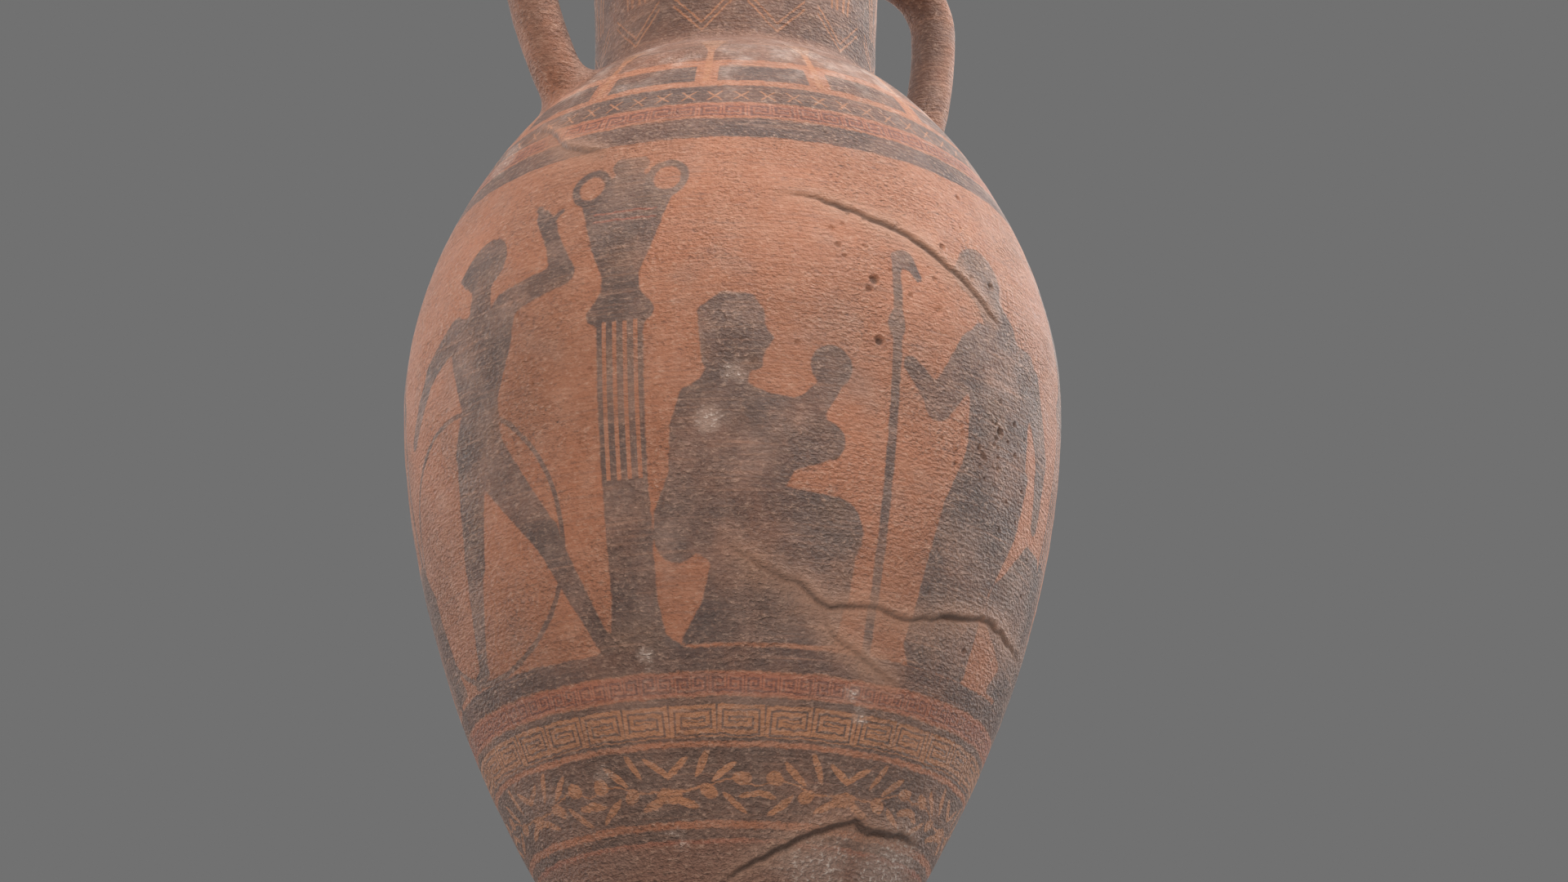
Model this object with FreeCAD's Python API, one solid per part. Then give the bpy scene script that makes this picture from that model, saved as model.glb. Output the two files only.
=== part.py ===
"""Two-handled storage jar (a neck amphora) of fired clay, in millimetres.

The jar is built the way a potter builds it: foot, two thrown halves of the body, neck and
mouth are turned separately and set into one another with stepped joints, two pulled handles
bridge neck and shoulder, and soft clay is pressed into every open corner between them.
+Z is up, the jar's axis is Z, the handles lie along X, and the origin is the centre of the
foot's resting ring, on the ground.
"""

import FreeCAD, Part
import math
import os

Vector = FreeCAD.Vector

# Body. Its outline is two curves that meet upright at the widest point.
BELLY_RADIUS = 150.0          # widest point, outside
BELLY_HEIGHT = 308.0          # height of the widest point above the ground
WALL = 8.0
FLOOR = 13.0                  # clay under the cavity, above the foot
BASE_RADIUS = 41.0            # where the body meets the foot
BASE_LEAN = Vector(105, 0, 130)       # how the outline leaves the base, outwards and up
UNDER_BELLY = 20.0            # how long the outline stays upright below the widest point
ABOVE_BELLY = 81.0            # how long it stays upright above
SHOULDER_RISE = 161.0         # from the widest point up to the end of the shoulder
SHOULDER_END_RADIUS = 61.0    # the outline ends here, hidden under the neck
SHOULDER_LEAN = Vector(25, 0, 1)      # how the outline arrives there, from outside
LAP = 4.0                     # half the height of the stepped joint at the widest point

# Foot
FOOT_HEIGHT = 28.0
FOOT_RADIUS = 67.0
FOOT_EDGE_HEIGHT = 10.0       # height of the foot's furthest edge
FOOT_EDGE_ROUNDING = 6.0      # how far the edge has turned back in, at EDGE_TOP
FOOT_EDGE_TOP = 21.0
FOOT_RING_OUTER = 62.0        # the resting ring on the ground
FOOT_RING_INNER = 50.0
FOOT_HOLLOW = 12.0            # height of the hollow under the foot, at its centre
FOOT_SOCKET = 5.0             # how deep the body's base sits in the foot

# Neck
NECK_ROOT_RADIUS = 67.0
NECK_WAIST_RADIUS = 68.0      # steers the gentle flare of the neck's outline
NECK_WAIST_HEIGHT = 538.0
NECK_TOP_RADIUS = 75.0
NECK_TOP = 600.0
NECK_TENON_RADIUS = 63.0      # the neck's tenon fills the shoulder's opening
NECK_PASSAGE_RADIUS = 58.0    # inside, at the root

# Mouth
MOUTH_RADIUS = 92.0
MOUTH_TOP = 635.0
MOUTH_EDGE = 15.0             # height of the rounded outer edge
MOUTH_ROUNDING = 4.0          # how far the edge turns in at the flat top
MOUTH_FLARE = 4.0             # the underside starts this flat, from the neck outwards
BORE_RADIUS = 68.0            # straight wall inside the mouth, where a stopper seats
BORE_LEAD = 7.0               # height of the rounded lead-in above the bore
LEAD_WIDTH = 5.0
MOUTH_TENON = 6.0             # height of the neck's tenon inside the mouth ring
MOUTH_TENON_RADIUS = 72.0

# Handles: a long arc, a tight arc and a level run, in a plane that holds the jar's axis
ELBOW_RADIUS = 122.0          # the centre line's furthest point from the jar's axis
ELBOW_HEIGHT = 547.0
SHANK_ARC = 196.0             # radius of the long arc from the elbow down to the shoulder
SHANK_ANGLE = 37.0            # how far it turns, in degrees, ending inside the shoulder
ELBOW_ARC = 25.0              # radius of the tight arc from the elbow to the level run
HANDLE_THICKNESS = 21.0       # measured in the handle's own plane
HANDLE_WIDTH = 25.0           # measured across it

# Radii of the soft clay pressed into the corners
FOOT_FILLET = 9.0
NECK_FILLET = 15.0
SHOULDER_ROOT_FILLET = 9.0
NECK_ROOT_FILLET = 6.0

SHOULDER_TOP = BELLY_HEIGHT + SHOULDER_RISE
FAR = 2 * BELLY_RADIUS        # reaches past the body on every side
TOUCHING = 1e-3               # surfaces closer than this are in contact


def point(radius, height):
    return Vector(radius, 0, height)


def line(start, end):
    return Part.makeLine(start, end)


def bezier(*poles):
    curve = Part.BezierCurve()
    curve.setPoles(list(poles))
    return curve.toShape()


def arc(start, middle, end):
    return Part.Arc(start, middle, end).toShape()


def turned(*edges):
    """The solid that a closed outline sweeps about the jar's axis."""
    face = Part.Face(Part.Wire(list(edges)))
    return face.revolve(Vector(), Vector(0, 0, 1), 360)


def closed_on_axis(*edges):
    """The turned solid between the jar's axis and an outline drawn from bottom to top."""
    start = edges[0].valueAt(edges[0].FirstParameter)
    end = edges[-1].valueAt(edges[-1].LastParameter)
    low, high = point(0, start.z), point(0, end.z)
    return turned(line(low, start), *edges, line(end, high), line(high, low))


def cylinder(radius, low, high):
    return Part.makeCylinder(radius, high - low, point(0, low))


def body_outline(inset):
    """The body's two curves, base to belly and belly to shoulder, moved inwards by inset."""
    inwards = Vector(-inset, 0, 0)
    down = Vector(0, 0, -inset)
    base = point(BASE_RADIUS, FOOT_HEIGHT) + inwards
    widest = point(BELLY_RADIUS, BELLY_HEIGHT) + inwards
    end = point(SHOULDER_END_RADIUS, SHOULDER_TOP) + down
    below = bezier(base, base + BASE_LEAN, widest - point(0, UNDER_BELLY), widest)
    above = bezier(widest, widest + point(0, ABOVE_BELLY), end + SHOULDER_LEAN, end)
    return below, above


def filled_body():
    """Everything inside the body's outer surface."""
    below, above = body_outline(0)
    socket = line(point(BASE_RADIUS, FOOT_HEIGHT - FOOT_SOCKET), point(BASE_RADIUS, FOOT_HEIGHT))
    return closed_on_axis(socket, below, above)


def cavity():
    """The hollow inside the body, open at the shoulder for the neck's tenon."""
    below, above = body_outline(WALL)
    floor = cylinder(FAR, 0, FOOT_HEIGHT + FLOOR)
    opening = cylinder(NECK_TENON_RADIUS, SHOULDER_TOP - 2 * WALL, SHOULDER_TOP + WALL)
    return closed_on_axis(below, above).cut(floor).fuse(opening)


def below_belly_joint():
    """The space below the stepped joint between the two halves of the body."""
    middle_of_wall = BELLY_RADIUS - WALL / 2
    outside = cylinder(FAR, 0, BELLY_HEIGHT - LAP)
    inside = cylinder(middle_of_wall, 0, BELLY_HEIGHT + LAP)
    return outside.fuse(inside)


def make_foot():
    """A turned disc with a rounded edge, hollow underneath, with a socket for the body's base."""
    ring_inner = point(FOOT_RING_INNER, 0)
    ring_outer = point(FOOT_RING_OUTER, 0)
    edge = point(FOOT_RADIUS, FOOT_EDGE_HEIGHT)
    edge_top = point(FOOT_RADIUS - FOOT_EDGE_ROUNDING, FOOT_EDGE_TOP)
    top = point(BASE_RADIUS, FOOT_HEIGHT)
    top_lean = point((BASE_RADIUS + FOOT_RADIUS) / 2, (FOOT_EDGE_TOP + FOOT_HEIGHT) / 2)
    disc = closed_on_axis(
        line(ring_inner, ring_outer),
        arc(ring_outer, edge, edge_top),
        bezier(edge_top, top_lean, top),
    )
    hollow_radius = (FOOT_RING_INNER ** 2 + FOOT_HOLLOW ** 2) / (2 * FOOT_HOLLOW)
    hollow = Part.makeSphere(hollow_radius, point(0, FOOT_HOLLOW - hollow_radius))
    socket = cylinder(BASE_RADIUS, FOOT_HEIGHT - FOOT_SOCKET, FOOT_HEIGHT)
    return disc.cut(hollow).cut(socket)


def filled_neck():
    """Everything inside the neck's outer surface, from inside the shoulder to the mouth."""
    root = point(NECK_ROOT_RADIUS, SHOULDER_TOP - WALL)
    waist = point(NECK_WAIST_RADIUS, NECK_WAIST_HEIGHT)
    return closed_on_axis(bezier(root, waist, point(NECK_TOP_RADIUS, NECK_TOP)))


def make_neck(shoulder):
    """A tube that widens upwards, with a tenon at each end."""
    tenon_top = NECK_TOP + MOUTH_TENON
    tenon = cylinder(MOUTH_TENON_RADIUS, NECK_TOP, tenon_top)
    low = point(NECK_PASSAGE_RADIUS, SHOULDER_TOP - WALL)
    passage = closed_on_axis(line(low, point(BORE_RADIUS, tenon_top)))
    return filled_neck().fuse(tenon).cut(passage).cut(shoulder)


def make_mouth():
    """A heavy ring with a flaring underside and a flat top, seated over the neck's tenon."""
    seat = NECK_TOP + MOUTH_TENON
    underside = point(NECK_TOP_RADIUS + 1, NECK_TOP)
    flare_end = point(MOUTH_RADIUS, MOUTH_TOP - MOUTH_EDGE)
    flare_lean = point(MOUTH_RADIUS - MOUTH_FLARE, NECK_TOP + MOUTH_FLARE)
    edge = point(MOUTH_RADIUS, MOUTH_TOP - MOUTH_ROUNDING)
    top_outer = point(MOUTH_RADIUS - MOUTH_ROUNDING, MOUTH_TOP)
    edge_middle = (edge + top_outer) * 0.5 + point(1, 1) * (MOUTH_ROUNDING * 0.2)
    top_inner = point(BORE_RADIUS + LEAD_WIDTH, MOUTH_TOP)
    lead = point(BORE_RADIUS, MOUTH_TOP - BORE_LEAD)
    return turned(
        line(point(MOUTH_TENON_RADIUS, NECK_TOP), underside),
        bezier(underside, flare_lean, flare_end),
        line(flare_end, edge),
        arc(edge, edge_middle, top_outer),
        line(top_outer, top_inner),
        bezier(top_inner, point(BORE_RADIUS, MOUTH_TOP), lead),
        line(lead, point(BORE_RADIUS, seat)),
        line(point(BORE_RADIUS, seat), point(MOUTH_TENON_RADIUS, seat)),
        line(point(MOUTH_TENON_RADIUS, seat), point(MOUTH_TENON_RADIUS, NECK_TOP)),
    )


def handle_rod():
    """The handle on the +X side before it is trimmed, running on into shoulder and neck."""

    def arc_centre(radius):
        return point(ELBOW_RADIUS - radius, ELBOW_HEIGHT)

    def on_arc(radius, degrees):
        angle = math.radians(degrees)
        return arc_centre(radius) + point(math.cos(angle), math.sin(angle)) * radius

    root = on_arc(SHANK_ARC, -SHANK_ANGLE)
    elbow = point(ELBOW_RADIUS, ELBOW_HEIGHT)
    crown = on_arc(ELBOW_ARC, 90)
    path = Part.Wire([
        arc(root, on_arc(SHANK_ARC, -SHANK_ANGLE / 2), elbow),
        arc(elbow, on_arc(ELBOW_ARC, 45), crown),
        line(crown, point(NECK_ROOT_RADIUS - WALL / 2, crown.z)),
    ])
    across = Vector(0, HANDLE_WIDTH / 2, 0)
    outwards = (root - arc_centre(SHANK_ARC)) * (HANDLE_THICKNESS / 2 / SHANK_ARC)
    oval = Part.Ellipse(root + across, root + outwards, root).toShape()
    return path.makePipeShell([Part.Wire([oval])], True, False)


def corner_edges(joined, first, second):
    """Edges of a fused solid that lie on the surfaces of both solids it was made from."""

    def on_surface(edge, solid):
        low, high = edge.ParameterRange
        samples = [edge.valueAt(low + (high - low) * share) for share in (0.2, 0.5, 0.8)]
        return all(Part.Vertex(at).distToShape(solid.Shells[0])[0] < TOUCHING for at in samples)

    edges = [edge for edge in joined.Edges if edge.Length > TOUCHING]
    return [edge for edge in edges if on_surface(edge, first) and on_surface(edge, second)]


def pressed_clay(first, second, radius):
    """The clay pressed into the corner where two solids meet, as a solid of its own."""
    joined = first.fuse(second)
    return joined.makeFillet(radius, corner_edges(joined, first, second)).cut(joined)


def largest_solid(shape):
    """The main solid of a shape, without the cut-off end that a trim leaves."""
    return max(shape.Solids, key=lambda solid: solid.Volume)


def handle_set(body, neck_core):
    """The +X handle, trimmed to meet shoulder and neck, and the clay round its two roots."""
    handle = largest_solid(handle_rod().cut(body).cut(neck_core))
    return {
        "handle": handle,
        "shoulder_root": pressed_clay(body, handle, SHOULDER_ROOT_FILLET),
        "neck_root": pressed_clay(neck_core, handle, NECK_ROOT_FILLET),
    }


def build():
    body = filled_body()
    neck_core = filled_neck()
    wall = body.cut(cavity())
    foot = make_foot()
    upper_body = wall.cut(below_belly_joint())
    nodes = {
        "foot": foot,
        "foot_collar": pressed_clay(body, foot, FOOT_FILLET),
        "lower_body": wall.common(below_belly_joint()),
        "upper_body": upper_body,
        "neck": make_neck(upper_body),
        "neck_collar": pressed_clay(body, neck_core, NECK_FILLET),
        "mouth_ring": make_mouth(),
    }
    for part_name, shape in handle_set(body, neck_core).items():
        nodes["right_" + part_name] = shape
        nodes["left_" + part_name] = shape.mirror(Vector(), Vector(1, 0, 0))
    return nodes


def main():
    os.makedirs("parts", exist_ok=True)
    for name, shape in build().items():
        solid = largest_solid(shape)
        solid.exportStep(f"parts/{name}.step")
        litres = solid.Volume / 1e6
        print(f"{name:22s} {litres:7.4f} litres of clay, {len(shape.Solids)} solid, valid {solid.isValid()}")


main()
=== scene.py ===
"""Looks of a painted, two-handled pottery jar, built round its CAD frame.

Lengths in this script are millimetres in the frame's axes, and azimuths are degrees about the
jar's axis, from -Y (0) towards +X (90). Meshes are scaled to metres when they are made.
"""

import functools
import math

import bmesh
import bpy
import numpy as np
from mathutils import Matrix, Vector


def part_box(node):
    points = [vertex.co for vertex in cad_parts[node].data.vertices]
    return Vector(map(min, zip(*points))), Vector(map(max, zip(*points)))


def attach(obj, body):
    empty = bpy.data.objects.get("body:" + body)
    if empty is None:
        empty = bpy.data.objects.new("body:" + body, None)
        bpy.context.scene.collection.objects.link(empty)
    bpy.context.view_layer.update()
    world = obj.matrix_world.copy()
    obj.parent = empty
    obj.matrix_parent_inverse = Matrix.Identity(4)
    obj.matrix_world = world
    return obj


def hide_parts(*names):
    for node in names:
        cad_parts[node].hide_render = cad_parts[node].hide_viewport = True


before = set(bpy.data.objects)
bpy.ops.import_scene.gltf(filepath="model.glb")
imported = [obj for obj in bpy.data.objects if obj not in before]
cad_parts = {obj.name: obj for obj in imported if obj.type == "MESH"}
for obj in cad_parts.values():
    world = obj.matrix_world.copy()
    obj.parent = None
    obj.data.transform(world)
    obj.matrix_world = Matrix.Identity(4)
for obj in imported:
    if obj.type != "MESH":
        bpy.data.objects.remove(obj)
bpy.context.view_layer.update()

MM = 0.001
SEED = 7


def box(node):
    """Lowest and highest corner of a CAD node, in millimetres."""
    low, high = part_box(node)
    return np.array(low) / MM, np.array(high) / MM


# ------------------------ sizes, from the frame

_, foot_high = box("foot")
lower_low, lower_high = box("lower_body")
upper_low, _ = box("upper_body")
neck_low, neck_high = box("neck")
mouth_low, mouth_high = box("mouth_ring")
_, foot_collar_high = box("foot_collar")
_, neck_collar_high = box("neck_collar")
_, handle_high = box("right_handle")

# Body
WALL = 8.0                                  # thickness of body and neck
FLOOR = 13.0                                # clay under the cavity, above the foot
BELLY_R = lower_high[0]
BELLY_Z = (lower_high[2] + upper_low[2]) / 2
LAP = (lower_high[2] - upper_low[2]) / 2    # half the height of the stepped joint at the belly
JOINT_R = BELLY_R - WALL / 2
BASE_R = 41.0                               # the body's base, in the foot's socket
BASE_LEAN = (105, 130)                      # how the outline leaves the base, outwards and up
UNDER_BELLY = 20                            # how long the outline stays upright below the belly
ABOVE_BELLY = 81                            # how long it stays upright above it
SHOULDER_R = 61.0                           # where the outline ends, hidden in the neck
SHOULDER_Z = neck_low[2] + WALL
SHOULDER_LEAN = (25, 1)                     # how the outline arrives there, from outside

# Foot
FOOT_R, FOOT_TOP = foot_high[0], foot_high[2]
FOOT_EDGE_Z = 10.0                          # height of the foot's furthest edge
FOOT_EDGE_END = (FOOT_R - 6, 21.0)          # the upper end of the edge's rounding
SOCKET = lower_low[2]

# Neck and mouth
NECK_ROOT_R = 67.0
NECK_WAIST = (68.0, 538.0)                  # steers the gentle flare of the neck's outline
NECK_TOP_R, NECK_TOP = neck_high[0], mouth_low[2]
NECK_TENON_R = 63.0                         # the neck's tenon in the shoulder's opening
PASSAGE_R = 58.0                            # inside the neck, at its root
MOUTH_R, MOUTH_TOP = mouth_high[0], mouth_high[2]
MOUTH_TENON_R = 72.0                        # the neck's tenon in the mouth ring
TENON_TOP = neck_high[2]
BORE_R = 68.0

# Handles
HANDLE_T = 10.5                             # half the handle's thickness, in its own plane
HANDLE_W = handle_high[1]                   # half its width, across
ELBOW_R = handle_high[0] - HANDLE_T
CROWN_Z = handle_high[2] - HANDLE_T
ELBOW_ARC = 25.0
ELBOW_Z = CROWN_Z - ELBOW_ARC
SHANK_ARC = 196.0
SHANK_ANGLE = 37                            # how far the shank's arc turns below the elbow

COLUMNS = 320                               # mesh columns round the jar
ROW = 2.8                                   # mesh rows on the outside
INSIDE_ROW = 9.0
EDGE_CELL = 1.5                             # size of mesh cells at painted edges
DAMAGE_CELL = 0.8                           # at cracks and pits


# ------------------------ outlines, (radius, height)

def line(start, end):
    """A straight stretch of an outline."""
    return np.linspace(start, end, 40)


def bezier(*poles):
    """A smooth stretch of an outline, steered by its poles."""
    t = np.linspace(0, 1, 600)[:, None]
    n = len(poles) - 1
    terms = [math.comb(n, k) * (1 - t) ** (n - k) * t ** k * np.array(pole, float)
             for k, pole in enumerate(poles)]
    return sum(terms)


def chain(*stretches):
    """One outline from stretches that each start where the last one ends."""
    return np.vstack([stretches[0]] + [stretch[1:] for stretch in stretches[1:]])


def bulge(start, middle, end):
    """A round curve from start to end that passes through middle."""
    pole = 2 * np.array(middle, float) - (np.array(start, float) + np.array(end, float)) / 2
    return bezier(start, pole, end)


def between(curve, low, high):
    """The stretch of a rising curve between two heights."""
    z = curve[:, 1]
    inner = curve[(z > low + 1e-6) & (z < high - 1e-6)]
    ends = [[np.interp(at, z, curve[:, 0]), at] for at in (max(low, z[0]), min(high, z[-1]))]
    return np.vstack([ends[:1], inner, ends[1:]])


def body_curve(inset):
    """The body's outline from base to shoulder, moved inwards by inset."""
    base = np.array([BASE_R - inset, FOOT_TOP])
    widest = np.array([BELLY_R - inset, BELLY_Z])
    end = np.array([SHOULDER_R, SHOULDER_Z - inset])
    below = bezier(base, base + BASE_LEAN, widest - (0, UNDER_BELLY), widest)
    above = bezier(widest, widest + (0, ABOVE_BELLY), end + SHOULDER_LEAN, end)
    return chain(below, above[:np.argmax(above[:, 1]) + 1])


def at_height(curve, z):
    """The point of a rising curve at a height."""
    return np.array([np.interp(z, curve[:, 1], curve[:, 0]), z])


def at_radius(curve, radius):
    """The point of an outline that leans inwards at a radius."""
    return np.array([radius, np.interp(-radius, -curve[:, 0], curve[:, 1])])


def on_shoulder(curve, radius):
    """The point where the upper half of a body curve reaches a radius."""
    return at_radius(curve[curve[:, 1] > BELLY_Z], radius)


BODY = body_curve(0)
NECK = bezier((NECK_ROOT_R, neck_low[2]), NECK_WAIST, (NECK_TOP_R, NECK_TOP))
FOOT_CREST = bezier(FOOT_EDGE_END, ((BASE_R + FOOT_R) / 2, (FOOT_EDGE_END[1] + FOOT_TOP) / 2),
                    (BASE_R, FOOT_TOP))


def neck_fillet():
    """The concave outline of the clay round the neck's root, from shoulder to neck."""
    shoulder = on_shoulder(BODY, neck_collar_high[0])
    corner = on_shoulder(BODY, NECK_ROOT_R)
    return bezier(shoulder, corner, at_height(NECK, neck_collar_high[2]))


NECK_FILLET = neck_fillet()
OUTSIDE = np.vstack([
    between(BODY, FOOT_TOP, NECK_FILLET[0, 1]),
    NECK_FILLET[1:-1],
    between(NECK, NECK_FILLET[-1, 1], NECK_TOP),
])


def unit(vectors):
    """The same directions with length 1, or 0 where there is no direction."""
    length = np.linalg.norm(vectors, axis=-1, keepdims=True)
    return np.where(length > 1e-9, vectors / np.maximum(length, 1e-9), 0.0)


def around(azimuth, radius, z):
    """Points at an azimuth in radians, a radius and a height."""
    return np.stack([radius * np.sin(azimuth), -radius * np.cos(azimuth), z + 0 * radius], -1)


def outside_radius(z):
    """The radius of the jar's ideal outside at a height."""
    return np.interp(z, OUTSIDE[:, 1], OUTSIDE[:, 0])


def outside_point(azimuth, z):
    """Points on the jar's ideal outside, from azimuth in radians and height."""
    return around(azimuth, outside_radius(z), z)


def outside_normal(points):
    """Outward directions of the ideal outside at points near it."""
    z = points[..., 2]
    slope = outside_radius(z + 0.5) - outside_radius(z - 0.5)
    r = np.hypot(points[..., 0], points[..., 1]) + 1e-9
    return unit(np.stack([points[..., 0] / r, points[..., 1] / r, -slope], -1))


# ------------------------ noise

def scrambled(keys, seed):
    """A repeatable number from -1 to 1 for each whole-number key."""
    mask = np.uint64(0xFFFFFFFF)
    h = (keys + np.uint64(seed * 97 + 13)) & mask
    h = ((h ^ (h >> np.uint64(13))) * np.uint64(1274126177)) & mask
    h = ((h ^ (h >> np.uint64(15))) * np.uint64(2654435761)) & mask
    return (h ^ (h >> np.uint64(16))).astype(float) / 2147483647.5 - 1


def noise(points, wavelength, seed):
    """Smooth noise from -1 to 1. wavelength is one length, or one for each axis."""
    p = points / np.array(wavelength, float)
    cell = np.floor(p)
    f = p - cell
    f = f * f * f * (f * (f * 6 - 15) + 10)
    whole = (cell.astype(np.int64) + 1_000_003).astype(np.uint64)
    primes = [np.uint64(value) for value in (374761393, 668265263, 2246822519)]
    low = [whole[:, axis] * primes[axis] for axis in range(3)]
    high = [low[axis] + primes[axis] for axis in range(3)]

    def along_x(y, z):
        left = scrambled(low[0] + y + z, seed)
        return left + f[:, 0] * (scrambled(high[0] + y + z, seed) - left)

    def along_y(z):
        near = along_x(low[1], z)
        return near + f[:, 1] * (along_x(high[1], z) - near)

    bottom = along_y(low[2])
    return bottom + f[:, 2] * (along_y(high[2]) - bottom)


# ------------------------ damage: cracks and pits

# Each crack: greatest depth, half width, how far one lip stands above the other, and its path as
# (azimuth, height) points.
CRACKS = [
    (1.3, 1.1, 3.0, [(-84, 414), (-75, 405), (-69, 391), (-62, 382), (-57, 379)]),
    (1.5, 1.2, 1.5, [(-28, 350), (-20, 349), (-14, 346), (-6, 341), (0, 334), (8, 324), (13, 315),
                     (16, 311)]),
    (1.5, 1.3, 1.7, [(-37, 203), (-29, 189), (-22, 184), (-16, 176), (-5, 178), (3, 176),
                     (11, 182), (24, 186), (36, 183), (50, 185)]),
    (0.9, 1.0, 1.1, [(-17, 176), (-15, 167), (-11, 161), (-4, 156), (4, 150)]),
    (2.3, 1.7, 2.6, [(-42, 69), (-32, 77), (-20, 85), (-9, 93), (1, 99), (8, 96), (22, 97), (30, 96)]),
    (0.9, 1.1, 1.3, [(112, 268), (122, 262), (131, 246), (143, 240), (152, 228)]),
    (0.8, 1.0, 1.2, [(196, 398), (204, 384), (209, 366), (219, 352)]),
]

# Larger pits: azimuth, height, radius, depth.
PITS = [
    (-18, 335, 1.3, 0.7), (-16, 338, 1.0, 0.6), (-17, 327, 1.5, 0.8), (-14, 331, 0.9, 0.6),
    (-16, 322, 1.1, 0.6), (-11, 313, 2.2, 1.3), (-12, 308, 1.5, 0.9), (-8, 319, 1.1, 0.7),
    (-10, 286, 2.1, 1.4), (11, 372, 1.3, 0.8), (3, 338, 1.6, 0.9), (14, 328, 1.8, 1.0),
    (17, 263, 1.9, 1.0), (13, 250, 1.6, 0.8), (21, 270, 1.2, 0.7),
]
# Where small pits gather: azimuth, height, how many.
PIT_CLUSTERS = [(16, 255, 40), (0, 330, 14), (-60, 250, 10), (120, 300, 26), (170, 200, 22), (230, 330, 18)]

# Places painted pale, partly paint rubbed away by handling and wear and partly painted highlights: azimuth,
# height, radius, strength.
RUBBED_AND_HIGHLIT = [
    (-34, 267, 7, 1.0), (-38, 247, 9, 1.0), (-66, 115, 7, 1.0), (-51, 157, 5, 1.0), (-51, 151, 4, 0.8),
    (-8, 145, 6, 1.0), (-5, 137, 6, 1.0), (-48, 89, 8, 0.8), (-17, 221, 6, 0.7), (-27, 128, 9, 0.5),
    (-7, 80, 24, 1.0), (21, 84, 27, 1.1), (-2, 172, 8, 0.5), (-52, 441, 7, 0.8), (-14, 450, 12, 0.9),
    (-22, 436, 7, 0.7), (10, 438, 12, 0.8), (-74, 436, 12, 0.7), (-90, 402, 16, 1.0), (-3, 312, 12, 0.4),
    (24, 320, 20, 0.5), (95, 240, 14, 0.6), (140, 300, 12, 0.8), (165, 180, 14, 0.6), (-150, 260, 16, 0.6),
    (-120, 330, 12, 0.7),
]


def rubbed_and_highlit_field(points):
    """How far the paint has been rubbed away and brightened by painted highlights, from 0 to about 1."""
    rubbed = np.zeros(len(points))
    for azimuth, z, radius, strength in RUBBED_AND_HIGHLIT:
        d = np.linalg.norm(points - outside_point(math.radians(azimuth), z), axis=1) / radius
        rubbed = np.maximum(rubbed, strength * np.exp(-d ** 2))
    return rubbed


def crack_path(stops):
    """A crack's jagged centre line on the ideal outside, as closely spaced points."""
    stops = np.array(stops, float)
    t = np.arange(len(stops))
    fine = np.linspace(0, len(stops) - 1, 24 * (len(stops) - 1) + 1)
    azimuth = np.radians(np.interp(fine, t, stops[:, 0]))
    z = np.interp(fine, t, stops[:, 1])
    smooth = outside_point(azimuth, z)
    z = z + 1.1 * noise(smooth, 9, 31) + 0.5 * noise(smooth, 3.5, 32)
    return outside_point(azimuth, z)


def crack_fields(points):
    """(groove, lift, halo) of all cracks together: groove and lift in millimetres, halo 0 to 1."""
    groove = np.zeros(len(points))
    lift = np.zeros(len(points))
    halo = np.zeros(len(points))
    for depth, half_width, lip, stops in CRACKS:
        path = crack_path(stops)
        reach = 30.0
        near = np.all((points > path.min(0) - reach) & (points < path.max(0) + reach), axis=1)
        index = np.flatnonzero(near)
        if not len(index):
            continue
        p = points[index]
        gap = np.linalg.norm(p[:, None] - path[None], axis=2)
        nearest = gap.argmin(1)
        d = gap[np.arange(len(p)), nearest]
        along = nearest / (len(path) - 1)
        strength = np.clip(4.5 * along * (1 - along), 0, 1) ** 0.6
        strength = strength * (0.85 + 0.3 * noise(path[nearest], 14, 33))
        tangent = np.gradient(path, axis=0)[nearest]
        up = np.cross(outside_normal(path[nearest]), tangent)
        side = np.tanh(np.sum((p - path[nearest]) * up, axis=1) / 0.8)
        width = half_width * (0.55 + 0.6 * strength)
        groove[index] = np.maximum(groove[index], depth * strength * np.exp(-(d / width) ** 2))
        lift[index] += strength * lip * (0.42 * np.exp(-d / 2.8) + 0.50 * side * np.exp(-d / 9))
        halo[index] = np.maximum(halo[index], strength * np.exp(-(d / 6.5) ** 2))
    return groove, lift, halo


def scattered_pits():
    """Every pit: the larger ones, clusters round the given places and a few strays."""
    rng = np.random.default_rng(SEED)
    pits = list(PITS)
    for azimuth, z, count in PIT_CLUSTERS:
        spread = rng.normal(0, 1, (count, 2)) * (7, 16)
        size = rng.uniform(0.6, 1.3, count)
        pits += [(azimuth + a, z + b, s, 0.5 * s) for (a, b), s in zip(spread, size)]
    stray = zip(rng.uniform(-180, 180, 60), rng.uniform(60, 440, 60), rng.uniform(0.6, 1.5, 60))
    pits += [(a, z, s, 0.5 * s) for a, z, s in stray]
    return pits


ALL_PITS = np.array(scattered_pits())
PIT_CENTRES = outside_point(np.radians(ALL_PITS[:, 0]), ALL_PITS[:, 1])


def pit_field(points):
    """How deep the pits are at each point, in millimetres."""
    depth = np.zeros(len(points))
    for centre, (_, _, radius, deep) in zip(PIT_CENTRES, ALL_PITS):
        near = np.flatnonzero(np.abs(points - centre).max(axis=1) < 2 * radius)
        d = np.linalg.norm(points[near] - centre, axis=1) / radius
        depth[near] += deep * (np.exp(-d ** 4) - 0.18 * np.exp(-((d - 1.35) / 0.3) ** 2))
    return depth


def clay_relief(points):
    """How far a hand-worked clay surface stands out from its ideal shape."""
    dents = 0.40 * noise(points, 90, 1) + 0.25 * noise(points, 37, 2)
    lumps = 0.11 * noise(points, 15, 3) + 0.06 * noise(points, 7.5, 4)
    rings = 0.09 * noise(points, (60, 60, 8.5), 5) + 0.06 * noise(points, (40, 40, 4.6), 6)
    return dents + lumps + rings


def outside_relief(points):
    """The relief of the jar's outside, with its damage. It dies out towards the ground."""
    groove, lift, _ = crack_fields(points)
    standing_clear = np.clip(points[:, 2] / 6, 0, 1)
    return (clay_relief(points) + lift - groove - pit_field(points)) * standing_clear


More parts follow.
